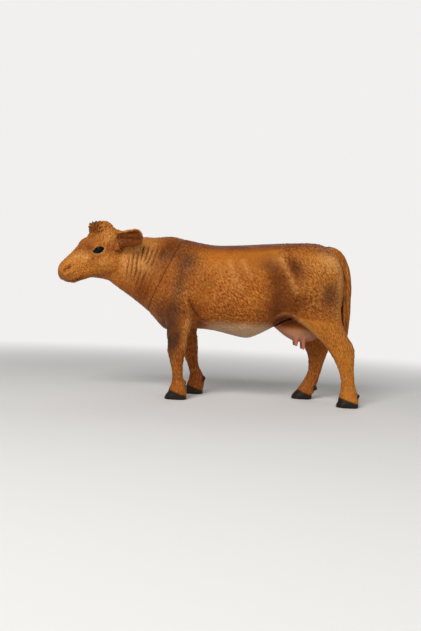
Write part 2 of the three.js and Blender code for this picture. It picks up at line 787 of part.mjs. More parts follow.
// The figure is set over the middle of the ground that it covers
const cow = new THREE.Group();
cow.add(...nodes);
const box = new THREE.Box3().setFromObject(cow);
cow.position.set(-(box.min.x + box.max.x) / 2, -(box.min.y + box.max.y) / 2, -box.min.z);

export default cow;
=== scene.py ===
# Toy cow: the parted solids of the frame become one skin, which is carved, painted and parted again
import math
import bpy
import numpy as np
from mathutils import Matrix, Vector
from mathutils.bvhtree import BVHTree


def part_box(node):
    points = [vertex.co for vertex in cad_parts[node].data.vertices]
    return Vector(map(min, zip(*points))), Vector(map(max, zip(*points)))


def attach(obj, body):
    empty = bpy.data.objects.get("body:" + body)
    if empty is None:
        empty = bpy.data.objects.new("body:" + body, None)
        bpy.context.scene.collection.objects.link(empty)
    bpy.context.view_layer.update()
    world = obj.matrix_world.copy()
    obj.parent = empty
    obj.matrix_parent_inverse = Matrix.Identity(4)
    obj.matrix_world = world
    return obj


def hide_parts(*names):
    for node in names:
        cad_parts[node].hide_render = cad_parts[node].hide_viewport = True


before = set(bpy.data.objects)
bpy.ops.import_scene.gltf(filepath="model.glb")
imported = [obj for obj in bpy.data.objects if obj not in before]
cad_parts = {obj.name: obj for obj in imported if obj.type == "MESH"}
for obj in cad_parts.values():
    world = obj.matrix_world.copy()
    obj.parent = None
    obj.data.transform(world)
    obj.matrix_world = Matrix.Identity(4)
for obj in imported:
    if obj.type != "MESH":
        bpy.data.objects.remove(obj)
bpy.context.view_layer.update()
bpy.ops.object.select_all(action='DESELECT')
mm = 0.001
pieceNames = sorted(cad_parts)

# Camera: level, at the height of the cow's middle, rolled as the figure leans in its tray
cameraSetting = {
    "place": (0.00135, -0.3, 0.0408), "roll": -2.86, "lens": 34.23, "sensor": 36, "near": 0.01,
}
bpy.ops.object.camera_add(
    location=cameraSetting["place"],
    rotation=(math.radians(90), math.radians(cameraSetting["roll"]), 0))
camera = bpy.context.object
camera.data.sensor_width = cameraSetting["sensor"]
camera.data.lens = cameraSetting["lens"]
camera.data.clip_start = cameraSetting["near"]
bpy.context.scene.camera = camera
bpy.context.scene.view_settings.view_transform = 'Standard'

# Soft studio light: a wide key above and in front, a weaker fill, and a pale room
lights = {
    "key": {"place": (-0.2, -0.53, 0.42), "size": 0.3, "power": 3.6},
    "fill": {"place": (0.45, -0.55, 0.16), "size": 0.5, "power": 1.1},
    "back": {"place": (0.25, 0.55, 0.5), "size": 0.5, "power": 0.7},
}
middleOfCow = Vector((0, 0, 0.045))
for lightName, setting in lights.items():
    place = Vector(setting["place"])
    aim = (middleOfCow - place).to_track_quat('-Z', 'Y').to_euler()
    bpy.ops.object.light_add(type='AREA', location=place, rotation=aim)
    lamp = bpy.context.object
    lamp.name = lightName
    lamp.data.size = setting["size"]
    lamp.data.energy = setting["power"]

# The room lights the cow weakly, looks pale to the camera, and shows only dimly in the plastic's sheen
room = {"light": 0.2, "shown": 0.88, "mirrored": 0.25, "colour": (1.0, 0.99, 0.975, 1)}
world = bpy.data.worlds.new("room")
bpy.context.scene.world = world
world.use_nodes = True
worldTree = world.node_tree
rays = worldTree.nodes.new("ShaderNodeLightPath")
seenRays = worldTree.nodes.new("ShaderNodeMath")
seenRays.operation = 'MULTIPLY_ADD'
seenRays.inputs[1].default_value = room["mirrored"]
worldTree.links.new(rays.outputs["Is Glossy Ray"], seenRays.inputs[0])
worldTree.links.new(rays.outputs["Is Camera Ray"], seenRays.inputs[2])
level = worldTree.nodes.new("ShaderNodeMapRange")
level.inputs["To Min"].default_value = room["light"]
level.inputs["To Max"].default_value = room["shown"]
worldTree.links.new(seenRays.outputs["Value"], level.inputs["Value"])
worldTree.nodes["Background"].inputs["Color"].default_value = room["colour"]
worldTree.links.new(level.outputs["Result"], worldTree.nodes["Background"].inputs["Strength"])

# Floor: pale and matt, fading into the room away from the cow
floorSetting = {
    "size": 6.0, "colour": (0.84, 0.83, 0.81, 1), "roughness": 0.9, "shine": 0.1,
    "fadeFrom": 0.12, "fadeTo": 0.5,
}
bpy.ops.mesh.primitive_plane_add(size=floorSetting["size"])
floor = bpy.context.object
floor.name = "floor"
floorPaint = bpy.data.materials.new("floor_card")
floorPaint.use_nodes = True
tree = floorPaint.node_tree
shader = tree.nodes["Principled BSDF"]
shader.inputs["Base Color"].default_value = floorSetting["colour"]
shader.inputs["Roughness"].default_value = floorSetting["roughness"]
shader.inputs["Specular IOR Level"].default_value = floorSetting["shine"]
glow = tree.nodes.new("ShaderNodeEmission")
glow.inputs["Color"].default_value = room["colour"]
glow.inputs["Strength"].default_value = room["shown"]
where = tree.nodes.new("ShaderNodeTexCoord")
distance = tree.nodes.new("ShaderNodeVectorMath")
distance.operation = 'LENGTH'
tree.links.new(where.outputs["Object"], distance.inputs[0])
fade = tree.nodes.new("ShaderNodeMapRange")
fade.interpolation_type = 'SMOOTHSTEP'
fade.inputs["From Min"].default_value = floorSetting["fadeFrom"]
fade.inputs["From Max"].default_value = floorSetting["fadeTo"]
tree.links.new(distance.outputs["Value"], fade.inputs["Value"])
sight = tree.nodes.new("ShaderNodeLightPath")
shown = tree.nodes.new("ShaderNodeMath")
shown.operation = 'MULTIPLY'
tree.links.new(fade.outputs["Result"], shown.inputs[0])
tree.links.new(sight.outputs["Is Camera Ray"], shown.inputs[1])
blend = tree.nodes.new("ShaderNodeMixShader")
tree.links.new(shown.outputs["Value"], blend.inputs["Fac"])
tree.links.new(shader.outputs["BSDF"], blend.inputs[1])
tree.links.new(glow.outputs["Emission"], blend.inputs[2])
tree.links.new(blend.outputs["Shader"], tree.nodes["Material Output"].inputs["Surface"])
floor.data.materials.append(floorPaint)
print("stage: camera, lights and floor")


# Small helpers for meshes
def only(thing):
    bpy.ops.object.select_all(action='DESELECT')
    thing.select_set(True)
    bpy.context.view_layer.objects.active = thing


def addAndApply(thing, kind, **values):
    only(thing)
    modifier = thing.modifiers.new(kind.lower(), kind)
    for key, value in values.items():
        setattr(modifier, key, value)
    bpy.ops.object.modifier_apply(modifier=modifier.name)


def readPoints(thing):
    flat = np.empty(len(thing.data.vertices) * 3, np.float32)
    thing.data.vertices.foreach_get("co", flat)
    return flat.reshape(-1, 3).astype(float) / mm


def writePoints(thing, points):
    thing.data.vertices.foreach_set("co", (points * mm).astype(np.float32).ravel())
    thing.data.update()


def readNormals(thing):
    flat = np.empty(len(thing.data.vertices) * 3, np.float32)
    thing.data.vertex_normals.foreach_get("vector", flat)
    return flat.reshape(-1, 3).astype(float)


def readEdges(thing):
    flat = np.empty(len(thing.data.edges) * 2, np.int32)
    thing.data.edges.foreach_get("vertices", flat)
    return flat.reshape(-1, 2)


# Each value moves half way to the mean of its neighbours, as many times as told
def spread(values, edges, times):
    share = 0.5
    count = len(values)
    degree = np.bincount(edges.ravel(), minlength=count).clip(1)
    for _ in range(times):
        near = np.bincount(edges[:, 0], weights=values[edges[:, 1]], minlength=count)
        near += np.bincount(edges[:, 1], weights=values[edges[:, 0]], minlength=count)
        values = values * (1 - share) + near / degree * share
    return values


# Soft edges, from 0 to 1: rising from low to high, falling from low to high, and a band with both
def step(value, low, high):
    t = np.clip((value - low) / (high - low), 0, 1)
    return t * t * (3 - 2 * t)


def falling(value, low, high):
    return step(high - value, 0, high - low)


def band(value, riseFrom, riseTo, fallFrom, fallTo):
    return step(value, riseFrom, riseTo) * falling(value, fallFrom, fallTo)


def setGroup(thing, name, weights):
    steps = 20
    group = thing.vertex_groups.new(name=name)
    levels = np.round(np.clip(weights, 0, 1) * steps).astype(int)
    for value in range(1, steps + 1):
        members = np.nonzero(levels == value)[0]
        if len(members):
            group.add(members.tolist(), value / steps, 'REPLACE')


# Skin: copies of the solids, grown until their seams close, joined and remeshed, then shrunk back
skinSetting = {
    "grow": 0.24, "growFrom": 7.0, "growFull": 12.0, "voxel": 0.405, "merge": 1e-6, "reach": 2.5,
    "borderBlur": 4, "softBlur": 12, "smooth": 0.8, "passes": 32, "lastSmooth": 0.5, "lastPasses": 3,
}
# How much each piece is smoothed, and where it is smoothed less
softness = {
    "torso": 1.0, "head_and_neck": 0.8, "udder": 0.25, "tail": 0.05, "left_ear": 0.04, "right_ear": 0.04,
    "left_foreleg": 0.1, "right_foreleg": 0.1, "left_hind_leg": 0.1, "right_hind_leg": 0.1,
}
firmPlaces = {
    "head": {"before": -42, "soft": 0.2},
    "groin": {"from": 29, "to": 58, "below": 45, "soft": 0.2},
    "feet": {"below": 8, "soft": 0.07},
}
copies = []
trees = {}
for name in pieceNames:
    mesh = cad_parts[name].data.copy()
    mesh.materials.clear()
    copyOfNode = bpy.data.objects.new("copy_" + name, mesh)
    bpy.context.scene.collection.objects.link(copyOfNode)
    only(copyOfNode)
    bpy.ops.object.mode_set(mode='EDIT')
    bpy.ops.mesh.select_all(action='SELECT')
    bpy.ops.mesh.remove_doubles(threshold=skinSetting["merge"])
    bpy.ops.object.mode_set(mode='OBJECT')
    trees[name] = BVHTree.FromPolygons(
        [v.co.copy() for v in mesh.vertices], [tuple(p.vertices) for p in mesh.polygons])
    heights = readPoints(copyOfNode)[:, 2]
    setGroup(copyOfNode, "grow", step(heights, skinSetting["growFrom"], skinSetting["growFull"]))
    addAndApply(copyOfNode, 'DISPLACE', strength=skinSetting["grow"] * mm, mid_level=0, vertex_group="grow")
    copies.append(copyOfNode)
bpy.ops.object.select_all(action='DESELECT')
for copyOfNode in copies:
    copyOfNode.select_set(True)
bpy.context.view_layer.objects.active = copies[0]
bpy.ops.object.join()
skin = bpy.context.object
skin.name = "skin"
addAndApply(skin, 'REMESH', mode='VOXEL', voxel_size=skinSetting["voxel"] * mm, use_smooth_shade=True)
only(skin)
bpy.ops.object.mode_set(mode='EDIT')
bpy.ops.mesh.select_all(action='DESELECT')
bpy.ops.object.mode_set(mode='OBJECT')

# Voids left in the sockets are loose shells: only the largest shell stays
edges = readEdges(skin)
label = np.arange(len(skin.data.vertices))
while True:
    lower = label.copy()
    np.minimum.at(lower, edges[:, 0], label[edges[:, 1]])
    np.minimum.at(lower, edges[:, 1], label[edges[:, 0]])
    lower = lower[lower]
    if (lower == label).all():
        break
    label = lower
shell = np.bincount(label).argmax()
skin.data.vertices.foreach_set("select", label != shell)
only(skin)
bpy.ops.object.mode_set(mode='EDIT')
bpy.ops.mesh.delete(type='VERT')
bpy.ops.object.mode_set(mode='OBJECT')
points = readPoints(skin)
setGroup(skin, "shrink", step(points[:, 2], skinSetting["growFrom"], skinSetting["growFull"]))
addAndApply(skin, 'DISPLACE', strength=-skinSetting["grow"] * mm, mid_level=0, vertex_group="shrink")
print("skin: vertices", len(skin.data.vertices))


# How far each point of the skin is from each solid
def distances(points):
    reach = skinSetting["reach"]
    far = np.full((len(points), len(pieceNames)), reach)
    for column, name in enumerate(pieceNames):
        low, high = (np.array(corner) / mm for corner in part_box(name))
        inside = np.all((points > low - reach) & (points < high + reach), axis=1)
        for i in np.nonzero(inside)[0]:
            hit = trees[name].find_nearest(Vector(points[i]) * mm, reach * mm)
            if hit[3] is not None:
                far[i, column] = hit[3] / mm
    return far


# The piece that each point belongs to: the nearest solid, with borders evened out
def ownersOf(points, edges):
    far = distances(points)
    for column in range(len(pieceNames)):
        far[:, column] = spread(far[:, column], edges, skinSetting["borderBlur"])
    return far.argmin(axis=1)


def ownedBy(*names):
    return np.isin(owner, [pieceNames.index(name) for name in names])


points = readPoints(skin)
edges = readEdges(skin)
owner = ownersOf(points, edges)
weight = np.array([softness[name] for name in pieceNames])[owner]
weight = np.where(points[:, 0] < firmPlaces["head"]["before"], firmPlaces["head"]["soft"], weight)
firm = firmPlaces["groin"]
groin = (points[:, 0] > firm["from"]) & (points[:, 0] < firm["to"]) & (points[:, 2] < firm["below"])
weight = np.where(groin, firm["soft"], weight)
weight = np.where(points[:, 2] < firmPlaces["feet"]["below"], firmPlaces["feet"]["soft"], weight)
weight = spread(weight, edges, skinSetting["softBlur"])
setGroup(skin, "soft", weight)
addAndApply(
    skin, 'SMOOTH', factor=skinSetting["smooth"], iterations=skinSetting["passes"], vertex_group="soft")
addAndApply(skin, 'SMOOTH', factor=skinSetting["lastSmooth"], iterations=skinSetting["lastPasses"])
print("skin smoothed")


# The head's own frame: forward down its slope, across to its right side, up square to both
headSetting = {"root": (-48.43, -3.61, 71.0), "slope": 30, "turn": 16}
slope = math.radians(headSetting["slope"])
turn = math.radians(headSetting["turn"])
headBack = np.array((math.cos(turn), math.sin(turn), 0))
headAcross = np.array((-math.sin(turn), math.cos(turn), 0))
headForward = np.array((0, 0, -math.sin(slope))) - math.cos(slope) * headBack
headUp = np.array((0, 0, math.cos(slope))) - math.sin(slope) * headBack


def inHead(points):
    off = points - np.array(headSetting["root"])
    return off @ headForward, off @ headAcross, off @ headUp


# Distance from points of a plane to a drawn line, and how far along the line they are
def lineField(flat, line, reach):
    line = np.array(line, float)
    low, high = line.min(axis=0) - reach, line.max(axis=0) + reach
    close = np.nonzero(np.all((flat > low) & (flat < high), axis=1))[0]
    near = flat[close]
    best = np.full(len(near), np.inf)
    along = np.zeros(len(near))
    steps = np.hypot(*(line[1:] - line[:-1]).T)
    total = steps.sum()
    start = 0.0
    for a, b, length in zip(line[:-1], line[1:], steps):
        t = np.clip(((near - a) @ (b - a)) / length ** 2, 0, 1)
        gap = np.hypot(*(near - a - t[:, None] * (b - a)).T)
        closer = gap < best
        best = np.where(closer, gap, best)
        along = np.where(closer, (start + t * length) / total, along)
        start += length
    return close, best, along


# A ridge or groove along a line, fading at its ends
def carve(lift, flat, line, width, height, mask, taper=0.25):
    reachInWidths = 3.2
    close, gap, along = lineField(flat, line, reachInWidths * width)
    fade = step(along, 0, taper) * step(1 - along, 0, taper) if taper else 1
    lift[close] += height * np.exp(-(gap / width) ** 2) * fade * mask[close]


# A round swelling or hollow, which may be oval and lean
def swell(lift, flat, centre, radii, height, mask, lean=0):
    angle = math.radians(lean)
    off = flat - np.array(centre, float)
    along = off[:, 0] * math.cos(angle) + off[:, 1] * math.sin(angle)
    square = -off[:, 0] * math.sin(angle) + off[:, 1] * math.cos(angle)
    lift += height * np.exp(-(along / radii[0]) ** 2 - (square / radii[1]) ** 2) * mask


# How strongly soft round marks and lines cover each point
def sprayed(flat, marks, lines=()):
    taper = 0.12
    level = np.zeros(len(flat))
    for centre, radii, strength, lean in marks:
        mark = np.zeros(len(flat))
        swell(mark, flat, centre, radii, strength, 1, lean)
        level = 1 - (1 - level) * (1 - np.minimum(mark, 1))
    for line, width, strength in lines:
        mark = np.zeros(len(flat))
        carve(mark, flat, line, width, strength, np.ones(len(flat)), taper)
        level = 1 - (1 - level) * (1 - np.minimum(mark, 1))
    return level


def lifted(thing, lift):
    writePoints(thing, readPoints(thing) + readNormals(thing) * lift[:, None])


# Broad forms of the flanks, as [place along and height, reach, height, lean]
flankForms = [
    [(-9, 62), (7, 16), 0.5, 12],
    [(-14.5, 46), (5, 7), 0.8, 30],
    [(-22, 49), (5, 9), 0.5, 60],
    [(-7, 56), (2.2, 9), -0.4, 5],
    [(-3.5, 41), (2.5, 3.5), -0.7, 0],
    [(34.5, 52), (6, 10), -1.1, 20],
    [(40.5, 65), (3, 6), -1.2, 25],
    [(28, 66), (6, 5), -0.6, 0],
    [(52, 68), (8, 5), 0.7, -20],
    [(56, 52), (7, 10), 0.35, 0],
    [(47, 58), (3.5, 8), 0.4, 15],
    [(12, 46), (14, 7), 0.4, 0],
    [(17.5, 35.5), (2.6, 1.6), 0.8, 0],
    [(11, 34.8), (2.4, 1.2), 0.5, 0],
    [(22.5, 34.5), (2, 1.4), 0.5, 0],
]
# Bone and muscle lines of the flanks, as [line, width, height]
flankLines = [
    [[(31, 71.6), (33.3, 69.2), (34.8, 66.8), (36.5, 64), (38.1, 60.8), (39.6, 57.5), (42, 53.8)], 1.7, 1.0],
    [[(-9.8, 50), (-8.6, 46.5), (-7.4, 43.6), (-6, 41.1), (-4.2, 39), (-2.4, 37.6)], 0.75, -1.0],
    [[(-11.6, 50), (-10.4, 46), (-9.3, 42.6), (-8.6, 40)], 0.9, 0.45],
    [[(-19.9, 60.5), (-20.9, 56.6), (-21.6, 51.8), (-22.2, 47), (-21.8, 42.3), (-21.1, 38.5)], 1.6, -0.4],
    [[(-4, 38.5), (-1.5, 37.8), (1, 37.4)], 0.45, -0.5],
    [[(-4.5, 36.8), (-2, 36), (0.5, 35.8)], 0.45, -0.4],
    [[(44, 50.9), (45.8, 50.5), (47.4, 50.6), (49, 51.2)], 0.4, -0.6],
    [[(40.6, 49.4), (42.6, 49.6)], 0.4, -0.4],
    [[(31, 40.2), (33, 41.8), (36.3, 43.2), (40.7, 42.8), (44.1, 40.4), (47.2, 38), (52, 34), (57, 29)],
     0.8, 0.5],
    [[(48, 47), (52, 42), (56, 38), (60, 35)], 2.0, -0.35],
    [[(2.6, 67.2), (4.6, 62.5), (7, 57.2)], 1.5, 0.2],
    [[(8.6, 69), (10.6, 63.4), (13.4, 57.2), (16, 52)], 1.5, 0.38],
    [[(15, 69), (17.4, 64), (20.4, 58)], 1.5, 0.32],
    [[(-13.4, 76.2), (-13.5, 70), (-12, 62), (-11.5, 55)], 1.8, 0.25],
]
# Folds of the neck, as [line, width, height], each with a rounded ridge behind it
neckSetting = {
    "width": 0.85, "depth": 0.75, "taper": 0.3, "ridgeBehind": 1.1, "ridgeWidth": 0.6, "ridgeHeight": 0.45,
    "ridgeTaper": 0.35,
}
neckLines = [
    [[(-27.8, 74.6), (-28, 71.1), (-28.6, 69), (-29.4, 67), (-30.4, 64.5), (-31.3, 62.1)], 0.5, -0.9],
    [[(-25.7, 75), (-25.7, 72.2), (-26.2, 70.1), (-26.8, 68.1), (-27.6, 65.1), (-28.8, 61.7)], 0.5, -0.9],
    [[(-23, 74.2), (-23.3, 70.2), (-24.1, 67.7), (-24.6, 64.7)], 0.6, -0.6],
    [[(-30.1, 74.6), (-30.6, 69.9), (-31.3, 66.9), (-32.1, 64)], 0.5, -0.9],
    [[(-32.6, 74.4), (-33, 69.8), (-33.3, 67.3), (-33.6, 64.4)], 0.5, -0.85],
    [[(-32.7, 62), (-33.8, 58.6), (-34.7, 55.7), (-35.7, 52.8), (-36.3, 50.4)], 0.5, -0.7],
    [[(-29.4, 63.1), (-30.7, 60.1), (-31.8, 57.2), (-32.9, 53.8), (-33.7, 50.5), (-34.6, 47.6)], 0.55, -0.6],
    [[(-39.2, 69.5), (-39.4, 64.6), (-39.8, 61.7), (-40.2, 58.8), (-40.5, 56)], 0.5, -0.7],
    [[(-37.4, 71.6), (-37.4, 66.6), (-37.4, 63.7), (-37.8, 60.8), (-38.2, 57.5), (-38.5, 54.1)], 0.5, -0.85],
    [[(-35.3, 72.7), (-35.2, 67.2), (-35.5, 63.8), (-35.6, 60.9), (-36.2, 57.5), (-37, 53.7)], 0.5, -0.85],
    [[(-30.6, 57.8), (-31.2, 54.4), (-32.2, 51), (-33.3, 47.6)], 0.6, -0.45],
    [[(-27.2, 59.3), (-28.3, 55.9), (-29.4, 52.5), (-30.4, 49.2), (-30.7, 45.8)], 0.6, -0.45],
    [[(-22.9, 60.4), (-23.4, 56.6), (-24.2, 53.2), (-25, 49.8)], 0.7, -0.35],
]
# A point counts as part of a side more and more as its normal turns sideways between these two
sideFacing = (0.1, 0.5)
trunkBlur = 6
points = readPoints(skin)
normals = readNormals(skin)
edges = readEdges(skin)
flat = points[:, [0, 2]]
trunk = spread(ownedBy("torso", "head_and_neck").astype(float), edges, trunkBlur)
flank = step(np.abs(normals[:, 1]), *sideFacing) * trunk
lift = np.zeros(len(points))
for centre, radii, height, lean in flankForms:
    swell(lift, flat, centre, radii, height, flank, lean)
for line, width, height in flankLines:
    carve(lift, flat, line, width, height, flank)
for line, width, height in neckLines:
    fold = (width * neckSetting["width"], height * neckSetting["depth"])
    carve(lift, flat, line, *fold, flank, neckSetting["taper"])
    ridge = [(x + neckSetting["ridgeBehind"], z) for x, z in line]
    carve(lift, flat, ridge, neckSetting["ridgeWidth"], -height * neckSetting["ridgeHeight"], flank,
          neckSetting["ridgeTaper"])
lifted(skin, lift)

# The groin: a hollow under the fold that runs from the belly to the front of the thigh
groinFold = {
    "x": [30, 33, 36.3, 40.7, 44.1, 47.2, 49.2], "z": [38.6, 41.0, 42.3, 41.8, 39.2, 36.6, 34], "depth": 3.4,
    "edge": (-0.2, 1.0), "length": (30.5, 34, 46.5, 48.5), "bottom": (33, 36), "offMiddle": (1, 5),
    "paintEdge": (-0.6, 0.6), "paintLength": (29.5, 32.5, 46, 49), "paintBottom": (34, 37),
}
points = readPoints(skin)
x, y, z = points.T
window = step(np.interp(x, groinFold["x"], groinFold["z"]) - z, *groinFold["edge"])
window *= band(x, *groinFold["length"]) * step(z, *groinFold["bottom"]) * ownedBy("torso")
points[:, 1] -= np.sign(y) * groinFold["depth"] * window * step(np.abs(y), *groinFold["offMiddle"])
writePoints(skin, points)
print("flanks and neck carved")

# Cheeks: [line along and up, width, height] and [place, reach, height] in the head's own plane
headLines = [
    [[(11.2, 4.6), (9.4, 5.6), (7.2, 5.8), (5, 5.0), (3.2, 3.4)], 1.0, 0.75],
    [[(11.2, 0.6), (8.8, -0.9), (5.6, -1.4), (3.6, 0)], 0.5, -0.25],
    [[(14.3, 3.2), (13.1, 0.2), (11, -2.8), (7, -4.6)], 1.3, 0.35],
    [[(15.3, -6.4), (11.9, -8), (7.6, -8.8), (3.2, -8), (-0.2, -5.6)], 1.5, 0.3],
    [[(27.4, 1.6), (25.8, 2.9), (23.9, 3.1), (21.9, 2.5), (20.9, 0.9)], 0.7, 0.45],
    [[(26.6, -0.6), (24.4, -1.1), (22.2, -0.4)], 0.6, 0.3],
]
headForms = [
    [(6, -4), (4.5, 4), 0.5],
    [(25.5, -2.6), (3.5, 2.2), 0.25],
    [(14.5, 2), (3, 3), -0.3],
    [(17.5, -3), (3.5, 3), -0.35],
]
cheekEdges = {"along": (-3, 1), "forward": (40, 44)}
alongHead, acrossHead, upHead = inHead(readPoints(skin))
headFlat = np.stack([alongHead, upHead], axis=1)
cheek = step(np.abs(readNormals(skin) @ headAcross), *sideFacing) * step(alongHead, *cheekEdges["along"])
cheek *= step(-points[:, 0], *cheekEdges["forward"])
lift = np.zeros(len(points))
for line, width, height in headLines:
    carve(lift, headFlat, line, width, height, cheek)
for centre, radii, height in headForms:
    swell(lift, headFlat, centre, radii, height, cheek)
lifted(skin, lift)

# The muzzle is set back a little, and the front teats are shorter than the others
headEnd = -44  # the head is what lies before this
muzzleBack = {"from": 26, "share": 0.16}
teats = {"split": 46.2, "base": 29.4, "front": 0.5}
points = readPoints(skin)
alongHead, acrossHead, upHead = inHead(points)
over = np.where(points[:, 0] < headEnd, alongHead - muzzleBack["from"], 0).clip(0)
points += muzzleBack["share"] * over[:, None] * headBack
teat = ownedBy("udder") & (points[:, 0] < teats["split"]) & (points[:, 2] < teats["base"])
points[:, 2] = np.where(teat, teats["base"] + (points[:, 2] - teats["base"]) * teats["front"], points[:, 2])
writePoints(skin, points)


# Smaller faces where the finest forms are
def refine(thing, chosen):
    only(thing)
    thing.data.vertices.foreach_set("select", chosen)
    faces = np.zeros(len(thing.data.polygons), bool)
    for face in thing.data.polygons:
        faces[face.index] = all(chosen[i] for i in face.vertices)
    thing.data.polygons.foreach_set("select", faces)
    thing.data.edges.foreach_set("select", np.all(chosen[readEdges(thing)], axis=1))
    bpy.ops.object.mode_set(mode='EDIT')
    bpy.ops.mesh.select_mode(type='FACE')
    bpy.ops.mesh.subdivide(number_cuts=1)
    bpy.ops.mesh.select_all(action='DESELECT')
    bpy.ops.mesh.select_mode(type='VERT')
    bpy.ops.object.mode_set(mode='OBJECT')


# The eye in the head's own plane: its place, its almond shape, its ball, and the lids round it
eye = {
    "along": 7.35, "up": 2.35, "lean": 5, "half": 2.7, "tall": 1.5, "taper": 0.35, "ball": 0.35, "sunk": 0.12,
    "lid": 0.42, "lidAt": 1.28, "lidWidth": 0.22, "upperLid": 0.35, "slit": 0.3, "slitAt": 1.02,
    "slitWidth": 0.1, "socket": (2.2, 3.2), "near": 4.6, "close": 3.6, "offMiddle": 5,
}


def eyeShape(along, up):
    angle = math.radians(eye["lean"])
    s = (along - eye["along"]) * math.cos(angle) + (up - eye["up"]) * math.sin(angle)
    t = -(along - eye["along"]) * math.sin(angle) + (up - eye["up"]) * math.cos(angle)
    return s / eye["half"], t / (eye["tall"] * (1 - eye["taper"] * (s / eye["half"]) ** 2).clip(0.3))


# Where the head's faces are made smaller: the muzzle, the poll, round the eyes, and the ears
finePlaces = {"muzzle": 17, "pollUp": 8.5, "pollFrom": -7, "pollTo": 11}
points = readPoints(skin)
alongHead, acrossHead, upHead = inHead(points)
onHead = points[:, 0] < headEnd
muzzle = onHead & (alongHead > finePlaces["muzzle"])
poll = (alongHead > finePlaces["pollFrom"]) & (alongHead < finePlaces["pollTo"])
poll &= upHead > finePlaces["pollUp"]
eyes = np.hypot(alongHead - eye["along"], upHead - eye["up"]) < eye["near"]
eyes &= onHead & (np.abs(acrossHead) > eye["offMiddle"])
refine(skin, muzzle | (onHead & poll) | eyes | ownedBy("left_ear", "right_ear"))
points = readPoints(skin)
alongHead, acrossHead, upHead = inHead(points)
eyes = np.hypot(alongHead - eye["along"], upHead - eye["up"]) < eye["close"]
refine(skin, eyes & (points[:, 0] < headEnd) & (np.abs(acrossHead) > eye["offMiddle"]))
print("face refined: vertices", len(skin.data.vertices))

# Eyes: a smooth ball between two lids, in a shallow socket
points = readPoints(skin)
normals = readNormals(skin)
alongHead, acrossHead, upHead = inHead(points)
headFlat = np.stack([alongHead, upHead], axis=1)
onHead = points[:, 0] < headEnd
cheek = step(np.abs(normals @ headAcross), *sideFacing) * onHead
s, t = eyeShape(alongHead, upHead)
radius = np.hypot(s, t)
lift = np.where(radius < 1, eye["ball"] * np.sqrt(np.clip(1 - radius ** 2, 0, 1)) - eye["sunk"], 0)
upperLid = 1 + eye["upperLid"] * t / (radius + 0.01)
lift += eye["lid"] * np.exp(-((radius - eye["lidAt"]) / eye["lidWidth"]) ** 2) * upperLid
lift -= eye["slit"] * np.exp(-((radius - eye["slitAt"]) / eye["slitWidth"]) ** 2)
lift *= falling(radius, *eye["socket"]) * cheek
# Nostrils: a pit shaped like a comma, open to the front
nostril = {
    "line": [(26.4, 0.3), (25, 1.0), (23.4, 0.9), (22.2, 1.5)], "width": 0.75, "depth": 1.0, "taper": 0.15,
}
carve(lift, headFlat, nostril["line"], nostril["width"], -nostril["depth"], cheek, nostril["taper"])
# Mouth: a line round the muzzle, with the lower lip set back below it
mouth = [(33, 0.7), (30.6, -1.4), (28.9, -2.9), (27.3, -4.1), (24.1, -5.4), (21, -5.8), (18.4, -5.4)]
lipSetting = {
    "muzzle": (16, 19), "width": 0.34, "depth": 0.5, "taper": 0.12,
    "chin": 1.3, "chinWidth": 0.7, "chinDepth": 0.2, "chinTaper": 0.2,
}
muzzle = step(alongHead, *lipSetting["muzzle"]) * onHead
carve(lift, headFlat, mouth, lipSetting["width"], -lipSetting["depth"], muzzle, lipSetting["taper"])
chin = [(along, up - lipSetting["chin"]) for along, up in mouth]
chinForm = (lipSetting["chinWidth"], -lipSetting["chinDepth"])
carve(lift, headFlat, chin, *chinForm, muzzle, lipSetting["chinTaper"])
lifted(skin, lift)

# Poll: tight curls, each a small ring with a dimple, thrown from a fixed seed, and upright locks in front
curls = {
    "seed": 7, "count": 85, "from": 0.2, "ring": 0.85, "sizes": (0.8, 1.3), "width": 0.34,
    "height": 0.68, "heights": (0.5, 1.0), "dimple": 0.3, "sink": 0.45, "lock": 1.6, "lockWave": 0.35,
    "wave": 1.6, "lockHeight": 0.5, "front": (54, 56), "frontCurls": 0.3, "frontLower": 0.3,
    "onTop": (8.5, 10.5), "fromBehind": (-7, -5), "toFront": (7.5, 9.5), "most": 0.7, "least": -1.3,
    "topAt": [-61.6, -60.4, -58.8, -56.5, -51.6, -50.2, -48.8, -47.4, -46],
    "top": [79.2, 81.2, 82.9, 83.4, 83.6, 82.9, 81.8, 81, 80.5], "soft": 0.5,
}
# the tuft is trimmed to its rounded top before the curls go on
points = readPoints(skin)
top = np.interp(points[:, 0], curls["topAt"], curls["top"])
over = np.where(points[:, 0] < curls["topAt"][-1], points[:, 2] - top + curls["soft"], 0).clip(0)
points[:, 2] -= over - curls["soft"] * (1 - np.exp(-over / curls["soft"]))
writePoints(skin, points)
alongHead, acrossHead, upHead = inHead(points)
onHead = points[:, 0] < headEnd
onPoll = onHead * step(upHead, *curls["onTop"]) * step(alongHead, *curls["fromBehind"])
onPoll *= falling(alongHead, *curls["toFront"])
hairy = np.nonzero(onPoll > curls["from"])[0]
draw = np.random.default_rng(curls["seed"])
lift = np.zeros(len(points))
for i in draw.choice(hairy, curls["count"], replace=False):
    gap = np.linalg.norm(points[hairy] - points[i], axis=1)
    size = curls["ring"] * draw.uniform(*curls["sizes"])
    ring = np.exp(-((gap - size) / curls["width"]) ** 2)
    dimple = curls["dimple"] * np.exp(-(gap / (0.5 * size)) ** 2)
    lift[hairy] += curls["height"] * ring * draw.uniform(*curls["heights"]) - dimple
lift = (lift - curls["sink"]) * onPoll
x, y, z = points.T
frontOfPoll = onPoll * step(-x, *curls["front"])
locks = np.cos(2 * math.pi * (x + curls["lockWave"] * np.sin(z * curls["wave"])) / curls["lock"])
lift *= 1 - (1 - curls["frontCurls"]) * frontOfPoll
lift += curls["lockHeight"] * locks * frontOfPoll
